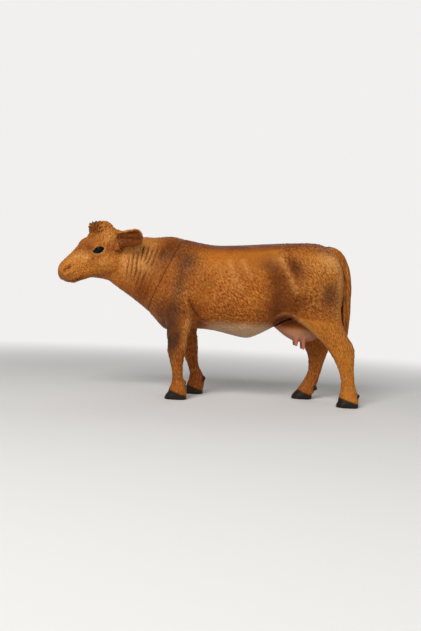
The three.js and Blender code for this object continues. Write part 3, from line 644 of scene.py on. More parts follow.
# the brow is dented under the tuft, and the back of the poll stands up: [place, reach, height]
browForms = [[(-62.4, 77.8), (2.2, 1.7), -1.3], [(-64.6, 74.6), (1.6, 1.6), 0.35]]
pollBack = [(-3.4, 12.5), (3, 2.6), 0.9]
pollTop = {"along": (6, 8), "up": (10.5, 12), "depth": 0.5}
brow = step(-readNormals(skin)[:, 0], *sideFacing) * onHead
for centre, radii, height in browForms:
    swell(lift, points[:, [0, 2]], centre, radii, height, brow)
swell(lift, np.stack([alongHead, upHead], axis=1), *pollBack, onHead.astype(float))
lift -= pollTop["depth"] * step(alongHead, *pollTop["along"]) * step(upHead, *pollTop["up"]) * onHead
lifted(skin, np.clip(lift, curls["least"], curls["most"] - curls["frontLower"] * frontOfPoll))
print("face carved")

# Ears: each one's frame runs from its root to its tip, up across the leaf, and out of its hollow
earSetting = {
    "back": 38, "lift": 22, "out": 7.7, "length": 16, "width": 9.2,
    "places": [0, 0.18, 0.4, 0.62, 0.82, 0.94, 1], "halves": [0.2, 0.3, 0.44, 0.5, 0.43, 0.28, 0.06],
    "narrowAt": [5, 9, 12, 15], "narrow": [1.0, 0.9, 1.0, 1.3],
    "raiseAt": [3, 5, 9, 13, 16], "raise": [1.8, 1.8, 0.6, -0.1, -0.4], "raisedFrom": (1.5, 5),
    "leaf": (3.2, 5.5), "hollow": 0.7, "hollowEnd": (12, 15), "rim": 0.4, "rimAt": 0.92, "rimWidth": 0.14,
    "fold": 0.22, "folds": 10, "foldTwist": 0.3, "foldEnd": (10, 13),
}
earSides = {"left_ear": -1, "right_ear": 1}


def inEar(points, side, raised=0):
    back, rise = math.radians(earSetting["back"]), math.radians(earSetting["lift"])
    outward = side * headAcross
    level = math.cos(back) * headBack + math.sin(back) * outward
    along = math.cos(rise) * level + np.array((0, 0, math.sin(rise)))
    opening = math.cos(back) * outward - math.sin(back) * headBack
    across = -side * np.cross(opening, along)
    off = points - np.array(headSetting["root"]) - earSetting["out"] * outward
    half = np.interp(off @ along / earSetting["length"], earSetting["places"], earSetting["halves"])
    height = off @ across - raised * np.interp(off @ along, earSetting["raiseAt"], earSetting["raise"])
    return off @ along, height / (half * earSetting["width"]), across, opening


# Legs: where a point stands between the front and the back of its leg, -1 to 1, at its height
legNames = ["left_foreleg", "right_foreleg", "left_hind_leg", "right_hind_leg"]


def legPlace(points, members):
    topLevel = 60
    heights = points[members, 2]
    slices = np.clip(heights.astype(int), 0, topLevel)
    front = np.full(topLevel + 1, np.nan)
    back = np.full(topLevel + 1, np.nan)
    for level in range(topLevel + 1):
        here = points[members][slices == level]
        if len(here):
            front[level], back[level] = here[:, 0].min(), here[:, 0].max()
    known = np.nonzero(~np.isnan(front))[0]
    front = np.interp(heights, known + 0.5, front[known])
    back = np.interp(heights, known + 0.5, back[known])
    return (points[members, 0] - (front + back) / 2) / ((back - front) / 2)


points = readPoints(skin)
normals = readNormals(skin)
edges = readEdges(skin)
owner = ownersOf(points, edges)
isPiece = {name: ownedBy(name) for name in pieceNames}

lift = np.zeros(len(points))
for name, side in earSides.items():
    along, place, across, opening = inEar(points, side)
    leaf = isPiece[name] * step(along, *earSetting["leaf"])
    inside = leaf * step(normals @ opening, *sideFacing)
    bowl = np.clip(1 - place ** 2, 0, 1) * falling(along, *earSetting["hollowEnd"])
    folds = np.cos(place * earSetting["folds"] + earSetting["foldTwist"] * along)
    rim = np.exp(-((np.abs(place) - earSetting["rimAt"]) / earSetting["rimWidth"]) ** 2)
    lift -= earSetting["hollow"] * inside * bowl
    lift += earSetting["fold"] * inside * folds * falling(along, *earSetting["foldEnd"])
    lift += earSetting["rim"] * leaf * rim
    half = np.interp(along / earSetting["length"], earSetting["places"], earSetting["halves"])
    half = half * earSetting["width"]
    narrow = np.interp(along, earSetting["narrowAt"], earSetting["narrow"])
    raised = isPiece[name] * step(along, *earSetting["raisedFrom"])
    raised = raised * np.interp(along, earSetting["raiseAt"], earSetting["raise"])
    points += (raised - leaf * place * half * (1 - narrow))[:, None] * across
writePoints(skin, points)
lifted(skin, lift)
points = readPoints(skin)
normals = readNormals(skin)

# Tendons down the cannons, knees and hocks
legSetting = {
    "tendon": 0.28, "tendonAt": 0.3, "tendonWidth": 0.22, "heights": (8, 12, 17, 21), "facing": (0.2, 0.7),
}
lift = np.zeros(len(points))
for name in legNames:
    members = np.nonzero(isPiece[name])[0]
    groove = np.exp(-((legPlace(points, members) - legSetting["tendonAt"]) / legSetting["tendonWidth"]) ** 2)
    groove *= step(np.abs(normals[members, 1]), *legSetting["facing"])
    lift[members] -= legSetting["tendon"] * band(points[members, 2], *legSetting["heights"]) * groove
# Tail: strands that wind down it, coarser in the switch
tailSetting = {
    "strands": 7, "twist": 0.3, "depth": 0.16, "switchDepth": 0.34, "switch": (42, 52), "end": (66, 72),
    "topLevel": 90,
}
members = np.nonzero(isPiece["tail"])[0]
heights = points[members, 2]
levels = np.clip(heights.astype(int), 0, tailSetting["topLevel"])
counts = np.bincount(levels)
middles = np.bincount(levels, weights=points[members, 0]) / counts.clip(1)
known = np.nonzero(counts)[0]
middle = np.interp(heights, known + 0.5, middles[known])
angle = np.arctan2(points[members, 1], points[members, 0] - middle)
deeper = tailSetting["switchDepth"] - tailSetting["depth"]
depth = tailSetting["depth"] + deeper * falling(heights, *tailSetting["switch"])
strands = np.cos(tailSetting["strands"] * angle + tailSetting["twist"] * heights)
lift[members] += depth * strands * falling(heights, *tailSetting["end"])
lift = spread(lift, edges, 1)
lifted(skin, lift)

# Hair: fine strokes pressed into the skin, each a stretched cloud that leans with the coat
hairSetting = [
    {"name": "flank", "lean": -42, "across": 0.54, "along": 1.5, "height": 0.5},
    {"name": "shoulder", "lean": -62, "across": 0.58, "along": 1.5, "height": 0.5},
    {"name": "legs", "lean": -76, "across": 0.56, "along": 1.6, "height": 0.38},
    {"name": "neck", "lean": -100, "across": 0.7, "along": 1.5, "height": 0.36},
    {"name": "face", "lean": 30, "across": 0.5, "along": 1.2, "height": 0.3},
]
# Areas where the coat lies smooth: [place along and height, reach, strength, lean]
calmMarks = [
    [(33, 47), (5.5, 9), 0.8, -4], [(46, 41.5), (10, 2.6), 0.7, -38], [(52, 71), (10, 3), 0.6, -10],
    [(63.3, 56), (1.8, 15), 0.8, 0], [(53, 33), (9, 2.2), 0.6, -45], [(-2, 46), (3, 10), 0.6, 0],
    [(55, 42), (6, 4), 0.5, 0], [(-17, 34), (3.5, 14), 0.7, 0], [(-24, 62), (5, 10), 0.4, 0],
    [(64, 18), (6, 8), 0.5, 0],
]
# Where each kind of hair begins and ends; neck, shoulder and face are counted forwards
hairEdges = {
    "neck": (16, 22, 40, 44), "shoulder": (2, 9, 16, 20), "face": (41, 45), "eye": (3.0, 5.0),
    "eyeFlat": 1.4, "muzzle": (24, 27), "belly": (35, 38), "legs": (7, 10), "loin": (-6, 2, 30, 36),
    "loinUp": (60, 68),
}
hairShares = {"neck": 0.8, "calm": 0.7, "belly": 0.6, "loin": 0.7}
cloudSetting = {"scale": 1.0, "depth": 1, "contrast": 2.0, "thickness": 1.6}
points = readPoints(skin)
x, y, z = points.T
calm = sprayed(points[:, [0, 2]], calmMarks)
alongHead, acrossHead, upHead = inHead(points)
trunk = spread((isPiece["torso"] | isPiece["head_and_neck"]).astype(float), edges, trunkBlur)
leg = spread(sum(isPiece[name].astype(float) for name in legNames), edges, trunkBlur)
beforeHead = step(-x, *hairEdges["face"])
onNeck = band(-x, *hairEdges["neck"]) * trunk
onShoulder = band(-x, *hairEdges["shoulder"]) * trunk
eyeNear = np.hypot(alongHead - eye["along"], (upHead - eye["up"]) * hairEdges["eyeFlat"])
onFace = beforeHead * trunk * step(eyeNear, *hairEdges["eye"]) * falling(alongHead, *hairEdges["muzzle"])
onFlank = trunk * (1 - onNeck) * (1 - beforeHead) * (1 - onShoulder)
onFlank *= 1 - hairShares["belly"] * falling(z, *hairEdges["belly"]) * trunk
onFlank *= 1 - hairShares["loin"] * step(z, *hairEdges["loinUp"]) * band(x, *hairEdges["loin"])
calmed = 1 - hairShares["calm"] * calm
hairAreas = {
    "flank": onFlank * calmed, "shoulder": onShoulder * calmed, "neck": onNeck * hairShares["neck"],
    "face": onFace, "legs": leg * step(z, *hairEdges["legs"]) * calmed,
}
for setting in hairSetting:
    setGroup(skin, setting["name"], hairAreas[setting["name"]])
    clouds = bpy.data.textures.new(setting["name"] + "_hair", 'CLOUDS')
    clouds.noise_scale = cloudSetting["scale"]
    clouds.noise_depth = cloudSetting["depth"]
    clouds.contrast = cloudSetting["contrast"]
    bpy.ops.object.empty_add(rotation=(0, -math.radians(setting["lean"]), 0))
    guide = bpy.context.object
    thickness = setting["across"] * cloudSetting["thickness"]
    guide.scale = (setting["along"] * mm, thickness * mm, setting["across"] * mm)
    bpy.context.view_layer.update()
    addAndApply(
        skin, 'DISPLACE', texture=clouds, texture_coords='OBJECT', texture_coords_object=guide, mid_level=0.5,
        strength=setting["height"] * mm, vertex_group=setting["name"])
    bpy.data.objects.remove(guide)
print("hair pressed in")

# Paint: soft sprayed shapes, kept on the skin as attributes that the materials read. Marks are
# [place along and height, reach, strength, lean], and lines are [line, width, strength]
# Umber marks: the toy's brown spray, and painted shade in the flank hollow, before and behind the hook bone
# and behind the elbow
umberMarks = [
    [(-20.5, 70), (8, 5), 1.1, 62], [(-32.5, 50), (3.5, 8), 0.45, -20], [(33.5, 48.5), (6, 10.5), 1.1, -4],
    [(41, 49.5), (8, 6.5), 0.75, 0], [(31, 61), (3.6, 6), 0.7, 20], [(40.5, 65.5), (3.4, 6.5), 0.95, 25],
    [(-6.5, 44), (1.6, 6), 0.7, 10], [(-22, 41), (6, 5), 0.65, 0], [(-3, 52), (4, 8), 0.3, 0],
    [(-3.6, 37), (2.6, 2.6), 0.5, -30],
]
smokeMarks = [
    [(-9.5, 66), (4.6, 9), 0.55, 20], [(-16.6, 31), (4.6, 10), 1.4, 0], [(27.5, 66), (5, 4), 0.5, 0],
    [(57, 53.4), (4.2, 6.4), 0.92, 0], [(-17, 23), (2, 7), 0.5, 0],
]
smokeLines = [[[(-10.5, 72), (-12, 64), (-14, 55), (-16, 46), (-17, 34)], 4.2, 0.62]]
# Rust marks: the toy's red-brown, and painted shade behind the elbow and in the flank hollow
rustMarks = [
    [(-33, 52), (10, 10), 0.6, 0], [(-26, 60), (10, 16), 0.5, 0], [(-20, 46), (8, 10), 0.45, 0],
    [(5, 43), (32, 5.5), 0.65, 0], [(47, 43), (10, 8), 0.5, 0], [(45, 60), (7, 8), 0.15, 0],
    [(-18, 73), (7, 6), 0.6, 0], [(34, 56), (6, 14), 0.5, 0], [(54, 43), (8, 6), 0.45, 0],
    [(57, 53.4), (5, 7.5), 0.3, 0], [(-3, 36.5), (3.6, 4), 0.95, 0],
]
# Painted highlights in pale paint: on the neck folds, the rump and the rear edge of the thigh, and along the
# hook bone, the ribs, the back of the elbow and the edge of the groin fold
highlightMarks = [
    [(-33, 66.5), (7.5, 9), 1.2, 0], [(57.5, 69), (7, 4.5), 1.05, -20], [(61.5, 60), (1.6, 12), 0.6, 0],
    [(-40, 62), (3, 5), 0.5, 0],
]
highlightLines = [
    [[(31.5, 71), (34, 68), (36, 64.4), (37.8, 60.4), (40, 56), (43, 52)], 1.7, 0.8],
    [[(8.6, 69), (10.6, 63.4), (13.4, 57.2), (16, 52)], 1.5, 0.4],
    [[(15, 69), (17.4, 64), (20.4, 58)], 1.5, 0.36],
    [[(2.6, 67.2), (4.6, 62.5), (7, 57.2)], 1.5, 0.18],
    [[(-8.6, 43), (-9.2, 38), (-10.2, 32), (-11.2, 24)], 1.1, 0.6],
    [[(31, 40.6), (33, 42.2), (36.3, 43.6), (40.7, 43.2), (44.1, 40.8), (47.2, 38.4), (52, 34.4), (57, 29.4)],
     0.55, 0.7],
]
# Ochre marks: the toy's lighter paint, and painted highlights on the rump, the rear edge of the thigh and the
# neck folds
ochreMarks = [
    [(8, 66), (17, 5), 0.15, 0], [(52, 68), (8, 5), 0.9, 0], [(62.5, 55), (1.6, 16), 0.9, 0],
    [(-33.5, 67.5), (8, 8), 1.0, 0], [(-36, 66), (7, 7), 1.0, 0], [(33, 72), (8, 3), 0.4, 0],
    [(60, 42), (3, 9), 0.15, -30], [(47, 56), (5, 6), 0.7, 0], [(-14, 44), (4, 6), 0.45, 0],
    [(66, 28), (2.5, 6), 0.6, 15], [(46, 40), (2, 9), 0.5, 50],
]
# The same for the face, in the head's own plane
# Rust on the face: red-brown paint, with painted shade under the brow, below the eye and along the jaw
faceRust = [
    [(11.2, 5.2), (2.8, 2.6), 1.0, 0], [(14, 7.4), (3, 1.6), 0.9, -30], [(8, 7.6), (4, 1.6), 0.6, 0],
    [(9, -0.8), (4, 1.4), 0.5, 0], [(12, -8.5), (9, 2.2), 0.75, 10], [(1, -7), (5, 4), 0.5, 0],
    [(3, 11), (6, 3), 0.55, 0], [(-3, -2), (2.5, 5), 0.5, 0], [(25.5, -2.2), (3, 1.6), 0.65, 0],
    [(28.6, -0.6), (1.8, 2.6), 0.75, 0], [(11.6, 0.2), (2.2, 0.7), 0.8, -50],
]
faceRustLines = [[mouth, 0.6, 0.8], [[(27.5, 0.6), (25, 0.8), (22, 1.4)], 0.8, 0.6]]
lipLine = [[mouth, 0.4, 0.6]]
# Ochre on the face: lighter paint, and painted highlights in front of and behind the eye and along the bridge
# of the nose
faceOchre = [
    [(14, 3.0), (3.2, 2.8), 0.9, 0], [(0, 6), (4, 5), 0.7, 0], [(22, 1), (6, 5), 0.35, 0],
    [(6, -4), (5, 4), 0.6, 0], [(18, 4), (5, 2), 0.5, -15], [(26, -5), (4, 2.5), 0.5, 0],
]
# Painted highlights of the face in pale paint: in front of and behind the eye, on the back of the poll, on
# the rim of the nostril, on the cheek and along the bridge of the nose
faceHighlights = [
    [(14.4, 2.6), (2.6, 2.4), 0.75, 0], [(-0.5, 5.5), (3, 4), 0.55, 0], [(1, 10.5), (3, 2), 0.4, 0],
    [(24.5, -0.8), (2.5, 0.9), 0.45, 0], [(7, -3.5), (4, 3), 0.3, 0],
]
faceHighlightLines = [[[(23.8, 3.2), (18, 4.4), (13, 6.2)], 1.2, 0.35]]

points = readPoints(skin)
normals = readNormals(skin)
edges = readEdges(skin)
x, y, z = points.T
flat = points[:, [0, 2]]
alongHead, acrossHead, upHead = inHead(points)
faceFlat = np.stack([alongHead, upHead], axis=1)
torso = isPiece["torso"]
udder = isPiece["udder"]
tail = isPiece["tail"]
ears = isPiece["left_ear"] | isPiece["right_ear"]
hindLegs = isPiece["left_hind_leg"] | isPiece["right_hind_leg"]
forelegs = isPiece["left_foreleg"] | isPiece["right_foreleg"]
legs = forelegs | hindLegs
body = torso | isPiece["head_and_neck"] | forelegs
onHead = x < headEnd
faceSkin = onHead & ~ears
sideOfHead = onHead & (np.abs(acrossHead) > eye["offMiddle"])
# The spray comes from the sides: how much of it each point gets
spraySetting = {"side": (0.05, 0.45), "least": 0.3, "leg": (-0.5, 0.1)}
sideways = step(np.abs(normals[:, 1]), *spraySetting["side"])
outwards = normals[:, 1] * np.sign(y)
facing = spraySetting["least"] + (1 - spraySetting["least"]) * sideways
facing = np.where(legs, step(outwards, *spraySetting["leg"]), facing)

# Grain: where the coat is rough, and where the loin and the sprayed dark lie smooth
grainSetting = {
    "all": 0.9, "loin": -0.66, "loinUp": (60, 67), "loinAlong": (-6, 2, 32, 37), "rump": 0.3,
    "rumpFrom": (42, 50), "flank": 0.25, "flankUp": (40, 44, 53, 58), "udder": 0.3, "calm": 0.8,
    "smoke": 0.55, "blur": 20,
}
loin = step(z, *grainSetting["loinUp"]) * band(x, *grainSetting["loinAlong"])
rump = step(x, *grainSetting["rumpFrom"])
rough = grainSetting["all"] + torso * (
    grainSetting["loin"] * loin + grainSetting["rump"] * rump
    + grainSetting["flank"] * band(z, *grainSetting["flankUp"]))
rough = np.where(udder, grainSetting["udder"], rough * (1 - grainSetting["calm"] * calm))


# Hollows take the dark wash, which is painted shade as well, and ridges show paler paint as a painted
# highlight: how far a point stands above its surroundings, less the share that the roundness of the form
# gives
def standsOut(times):
    smooth = np.stack([spread(points[:, axis], edges, times) for axis in range(3)], axis=1)
    return np.einsum('ij,ij->i', points - smooth, normals)


reliefSetting = {"fine": 6, "broad": 30, "form": 120, "half": 0.1, "formFrom": (0.15, 0.6)}
relief = standsOut(reliefSetting["fine"])
relief -= standsOut(reliefSetting["broad"]) * reliefSetting["fine"] / reliefSetting["broad"]
crease = -relief / (np.abs(relief) + reliefSetting["half"])
form = standsOut(reliefSetting["form"])
form -= np.median(form[torso])

# Smoke, and painted highlights of the body
smoke = sprayed(flat, smokeMarks, smokeLines) * facing * body * ~onHead
pale = sprayed(flat, highlightMarks, highlightLines) * facing * (body | legs) * ~onHead
rough *= 1 - grainSetting["smoke"] * np.minimum(smoke, 1) * torso

# Umber: sprayed marks, partly painted shade, the ridge of the back, painted shade between the forelegs,
# in the groin, on the root of the udder and on the front of the tail, in the ears, on the poll and along the
# lips
umberSetting = {
    "below": 0.35, "underPale": 0.6, "ridge": 0.5, "ridgeFacing": (0.6, 0.9), "ridgeUp": (70, 74),
    "between": 0.8, "betweenForelegs": (5, 8), "betweenUp": (36, 40), "betweenFrom": (-21, -17),
    "groin": 0.95, "udder": 0.85, "udderUp": (36, 40), "tail": 0.75,
    "tailFront": (0.2, 0.8), "tailUp": (67, 72), "ear": 0.95, "poll": 0.76, "pollFront": (53, 55.5),
    "pollUp": (76.6, 78.8), "pollLocks": 0.18, "locksPerMm": 3.9,
}
ridgeOfBack = step(normals[:, 2], *umberSetting["ridgeFacing"]) * step(z, *umberSetting["ridgeUp"]) * torso
# Painted shade under the chest, between the forelegs
between = falling(np.abs(y), *umberSetting["betweenForelegs"]) * falling(z, *umberSetting["betweenUp"])
between *= falling(x, *umberSetting["betweenFrom"]) * body
# Painted shade in the recess under the groin fold
fold = np.interp(x, groinFold["x"], groinFold["z"])
groin = step(fold - z, *groinFold["paintEdge"]) * torso
groin *= band(x, *groinFold["paintLength"]) * step(z, *groinFold["paintBottom"])
# Painted shadow on the side of the tail that faces the rump
tailFront = step(-normals[:, 0], *umberSetting["tailFront"]) * falling(z, *umberSetting["tailUp"])
umber = sprayed(flat, umberMarks) * (umberSetting["below"] + (1 - umberSetting["below"]) * sideways) * body
# less umber under the painted highlights
umber *= 1 - umberSetting["underPale"] * pale * torso
umber = np.maximum(umber, umberSetting["ridge"] * ridgeOfBack)
umber = np.maximum(umber, umberSetting["between"] * between)
umber = np.maximum(umber, umberSetting["groin"] * groin)
# painted shade on the root of the udder, under the belly
umber = np.where(udder, umberSetting["udder"] * step(z, *umberSetting["udderUp"]), umber)
umber = np.where(tail, umberSetting["tail"] * tailFront, umber)
earPaint = {
    "facing": (-0.15, 0.25), "rim": (0.72, 0.9), "from": (4, 6), "edge": (0.9, 1.02),
    "fold": 0.18, "folds": 8, "twist": 0.5,
}
earHollow = np.zeros(len(points))
earRim = np.zeros(len(points))
for name, side in earSides.items():
    along, place, across, opening = inEar(points, side, 1)
    place = place / np.interp(along, earSetting["narrowAt"], earSetting["narrow"])
    inside = isPiece[name] * step(normals @ opening, *earPaint["facing"])
    inside = inside * falling(np.abs(place), *earPaint["edge"])
    # the upper rim is painted lighter: a painted highlight
    rim = isPiece[name] * step(place, *earPaint["rim"]) * step(along, *earPaint["from"])
    folds = 1 - earPaint["fold"] * (1 - np.cos(place * earPaint["folds"] + earPaint["twist"] * along))
    earRim = np.maximum(earRim, rim)
    earHollow = np.maximum(earHollow, folds * inside * (1 - rim))
umber = np.where(ears, umberSetting["ear"] * earHollow, umber)
tuft = step(-x, *umberSetting["pollFront"]) * step(z, *umberSetting["pollUp"])
tuft *= umberSetting["poll"] + umberSetting["pollLocks"] * np.cos(umberSetting["locksPerMm"] * x)
umber = np.where(faceSkin, np.maximum(tuft, sprayed(faceFlat, [], lipLine)), umber)

# Rust: sprayed marks, partly painted shade, the ridge of the back, the root of the udder, ears and round
# their roots, streaks of the tail, painted shade on the inner sides of the legs, low forelegs, and painted
# shade in broad hollows of the body
rustSetting = {
    "udder": 0.8, "udderUp": (34, 38), "ridge": 0.95, "ear": 0.7, "earHollow": 0.3, "earRim": 0.6,
    "earRoot": 0.8, "earRootNear": (3, 5.4), "tail": 0.18, "streak": 0.45, "streaks": 6, "twist": 0.2,
    "switch": 0.2, "switchUp": (38, 50), "leg": 0.12, "inner": 0.6, "foot": 0.45, "footUp": (20, 26),
    "foreFrom": 20, "hollow": 0.55, "tailMiddle": 68.5,
}
rust = sprayed(flat, rustMarks) * body
rust = np.maximum(rust, rustSetting["ridge"] * ridgeOfBack)
rust = np.where(udder, rustSetting["udder"] * step(z, *rustSetting["udderUp"]), rust)
earRust = rustSetting["ear"] + rustSetting["earHollow"] * earHollow - rustSetting["earRim"] * earRim
rust = np.where(ears, earRust, rust)
rust = np.where(faceSkin, sprayed(faceFlat, faceRust, faceRustLines), rust)
for side in earSides.values():
    root = np.array(headSetting["root"]) + earSetting["out"] * side * headAcross
    nearRoot = falling(np.linalg.norm(points - root, axis=1), *rustSetting["earRootNear"])
    rust = np.maximum(rust, rustSetting["earRoot"] * nearRoot * isPiece["head_and_neck"])
streaks = np.arctan2(y, x - rustSetting["tailMiddle"]) * rustSetting["streaks"] + rustSetting["twist"] * z
tailRust = rustSetting["tail"] + rustSetting["streak"] * (0.5 + 0.5 * np.cos(streaks))
tailRust += rustSetting["switch"] * falling(z, *rustSetting["switchUp"])
rust = np.where(tail, tailRust, rust)
# painted shade on the inner sides of the legs
legRust = rustSetting["leg"] + rustSetting["inner"] * (outwards < 0)
legRust += rustSetting["foot"] * falling(z, *rustSetting["footUp"]) * (x < rustSetting["foreFrom"])
rust = np.where(legs, legRust, rust)
# painted shade in broad hollows of the body
hollowShade = step(-form, *reliefSetting["formFrom"]) * (body & ~onHead)
rust = np.clip(rust + rustSetting["hollow"] * hollowShade, 0, 1)

# Ochre: sprayed marks, partly painted highlights, hind legs and tail, rump, face, painted highlights on the
# upper ear rims, and painted highlights on broad swellings of the body
ochreSetting = {
    "below": 0.4, "hind": 0.5, "rump": 0.45, "rumpAlong": (44, 52, 60, 64), "face": 0.35, "ear": 0.9,
    "swelling": 0.7,
}
ochre = sprayed(flat, ochreMarks) * (ochreSetting["below"] + (1 - ochreSetting["below"]) * sideways)
ochre = np.where(hindLegs | tail, np.maximum(ochre, ochreSetting["hind"]), ochre)
ochre = np.maximum(ochre, ochreSetting["rump"] * band(x, *ochreSetting["rumpAlong"]) * torso)
faceLevel = ochreSetting["face"] + (1 - ochreSetting["face"]) * sprayed(faceFlat, faceOchre)
ochre = np.where(faceSkin, faceLevel, ochre)
ochre = np.where(ears, ochreSetting["ear"] * earRim, ochre)
# painted highlights on broad swellings of the body
swelling = step(form, *reliefSetting["formFrom"]) * (body & ~onHead)
ochre = np.clip(ochre + ochreSetting["swelling"] * swelling, 0, 1)

# Painted highlights of the face, with a painted highlight in a ring round the eye
eyePaint = {
    "ringAt": 1.2, "ringWidth": 0.14, "ringPale": 0.8, "ringCream": 0.5, "lower": (-1.2, 1.2),
    "edge": (0.96, 1.08),
}
s, t = eyeShape(alongHead, upHead)
fromEye = np.hypot(s, t)
ring = np.exp(-((fromEye - eyePaint["ringAt"]) / eyePaint["ringWidth"]) ** 2)
ring *= 0.5 + 0.5 * step(-s - t, *eyePaint["lower"])
pale = np.where(faceSkin, sprayed(faceFlat, faceHighlights, faceHighlightLines), pale)
pale = np.where(sideOfHead, np.maximum(pale, eyePaint["ringPale"] * ring), pale)
eyeBlack = falling(fromEye, *eyePaint["edge"]) * sideOfHead

# Cream belly and udder, pink below
creamSetting = {
    "belly": 0.85, "bellyUp": (35, 39.6), "bellyAlong": (-4, 5, 28, 34), "udder": 0.62,
    "udderUp": (30, 32.5, 34.5, 37.5),
}
pinkSetting = {
    "belly": 0.3, "bellyUp": (30.5, 32.5), "udderUp": (30.3, 32.8), "under": 0.9, "facing": (0.2, 0.7),
}
belly = falling(z, *creamSetting["bellyUp"]) * band(x, *creamSetting["bellyAlong"]) * torso
cream = creamSetting["belly"] * belly
cream = np.where(udder, creamSetting["udder"] * band(z, *creamSetting["udderUp"]), cream)
# the painted highlight round the eye, in cream paint
cream = np.where(sideOfHead, eyePaint["ringCream"] * ring, cream)
under = pinkSetting["under"] * step(-normals[:, 2], *pinkSetting["facing"])
pink = pinkSetting["belly"] * falling(z, *pinkSetting["bellyUp"]) * belly
pink = np.where(udder, np.maximum(falling(z, *pinkSetting["udderUp"]), under), pink)

# Hooves: black up to a slanting line, and the dewclaws behind the fetlocks
hoofSetting = {"line": 3.4, "slant": 1.5, "edge": 0.15}
clawSetting = {"foreUp": 8.0, "hindUp": 5.8, "half": 1.5, "apart": 1.7, "wide": 1.25}
clawFrom = {"left_foreleg": -9.3, "right_foreleg": -1.4, "left_hind_leg": 72.8, "right_hind_leg": 56.3}
hoof = np.zeros(len(points))
for name in legNames:
    members = np.nonzero(isPiece[name])[0]
    line = hoofSetting["line"] - hoofSetting["slant"] * legPlace(points, members)
    hoof[members] = step(line - z[members], -hoofSetting["edge"], hoofSetting["edge"])
    middle = clawSetting["foreUp"] if "fore" in name else clawSetting["hindUp"]
    level = isPiece[name] & (np.abs(z - middle) < clawSetting["half"])
    offCentre = np.abs(np.abs(y - y[level].mean()) - clawSetting["apart"])
    hoof = np.where(level & (x > clawFrom[name]) & (offCentre < clawSetting["wide"]), 1.0, hoof)

paintBlur = 3
paints = {
    "umber": umber, "smoke": smoke, "rust": rust, "ochre": ochre, "pale": pale, "cream": cream, "pink": pink,
}
for name, level in paints.items():
    paints[name] = spread(level.astype(float), edges, paintBlur)
rough = spread(rough, edges, grainSetting["blur"])
paints.update(hoof=spread(hoof, edges, 1), eye=eyeBlack, crease=crease, rough=rough)
for name, level in paints.items():
    attribute = skin.data.attributes.new(name, 'FLOAT', 'POINT')
    attribute.data.foreach_set("value", level.astype(np.float32))
print("paint laid on")

# The skin is parted where the solids meet: the borders are evened out, and faces go by piece
faceOwner = np.empty(len(skin.data.polygons), np.int32)
for face in skin.data.polygons:
    faceOwner[face.index] = np.bincount(owner[list(face.vertices)]).argmax()
loopEdge = np.empty(len(skin.data.loops), np.int32)
skin.data.loops.foreach_get("edge_index", loopEdge)
loopTotal = np.empty(len(skin.data.polygons), np.int32)
skin.data.polygons.foreach_get("loop_total", loopTotal)
loopFace = np.repeat(np.arange(len(skin.data.polygons)), loopTotal)
lowest = np.full(len(skin.data.edges), len(pieceNames))
highest = np.full(len(skin.data.edges), -1)
np.minimum.at(lowest, loopEdge, faceOwner[loopFace])
np.maximum.at(highest, loopEdge, faceOwner[loopFace])
border = np.nonzero(lowest != highest)[0]
edges = readEdges(skin)
points = readPoints(skin)
normals = readNormals(skin)
borderPasses = 8
onBorder = np.isin(np.arange(len(points)), edges[border])
for _ in range(borderPasses):
    for axis in range(3):
        points[:, axis] = np.where(onBorder, spread(points[:, axis], edges[border], 1), points[:, axis])

# The neck seam stays as a thin dark groove
seam = {"depth": 0.3, "beside": 0.5, "dark": 1.2, "offset": 0.1}
neckPair = sorted((pieceNames.index("torso"), pieceNames.index("head_and_neck")))
neckEdges = border[(lowest[border] == neckPair[0]) & (highest[border] == neckPair[1])]
groove = np.zeros(len(points))
groove[np.unique(edges[neckEdges])] = 1
groove = np.maximum(groove, seam["beside"] * spread(groove, edges, 1))
points -= normals * (seam["depth"] * groove)[:, None]
writePoints(skin, points)
crease = np.maximum(crease, seam["dark"] * groove - seam["offset"])
skin.data.attributes["crease"].data.foreach_set("value", crease.astype(np.float32))


# Painted soft plastic: base coat, sprayed coats with painted highlights and painted shade among them, dark
# wash in the hollows that is painted shade as well, and hair too fine for the mesh
colours = {
    "base": (0.43, 0.124, 0.011), "deep": (0.3, 0.067, 0.005), "ochre": (0.54, 0.208, 0.031),
    "pale": (0.7, 0.315, 0.09), "rust": (0.18, 0.032, 0.004), "umber": (0.08, 0.017, 0.003),
    "smoke": (0.05, 0.016, 0.009), "cream": (0.5, 0.36, 0.22), "pink": (0.42, 0.15, 0.1),
    "hoof": (0.013, 0.012, 0.011), "eye": (0.002, 0.002, 0.002), "wash": (0.12, 0.026, 0.005),
    "dry": (0.68, 0.34, 0.1),
}
# How much each sprayed coat breaks up into grains
grainy = {"ochre": 0.35, "pale": 0.4, "rust": 0.35, "umber": 0.25, "smoke": 0.15, "cream": 0.55, "pink": 0.2}
# Noises as (scale, detail); combed is the length, depth and width of a hair in metres
texture = {
    "combed": (0.0015, 0.0006, 0.00043), "hair": (1.0, 2), "cloud": (130, 3), "grain": (1500, 2),
    "speck": (420, 3), "bump": 0.75, "bumpHeight": 0.00022, "grainHeight": 0.12,
}
# How noises and marks become shares of paint, as (from low, to high, lowest share, highest share)
mixing = {
    "deep": (0.42, 0.68, 0, 0.55), "specks": (0.5, 0.75, 0, 0.25), "dryRidges": (-0.15, -0.8, 0, 0.45),
    "wash": (0.05, 0.7, 0, 0.9), "washInCream": (0, 1, 0, 0.3), "strokes": (0.5, 0.37, 0, 0.6),
    "tips": (0.53, 0.65, 0, 0.32), "tipsInDark": (0, 0.8, 1, 0.2), "clouds": (0.3, 0.7, 0.86, 1.08),
    "grains": (0.3, 0.7), "grainsAdd": 0.4, "smokeInTips": 0.5,
}
sheen = {
    "roughness": (0.5, 1.0, 0.34, 0.5), "grain": 0.5, "level": 0.2, "tint": (1, 0.66, 0.38, 1), "eye": 0.36,
}
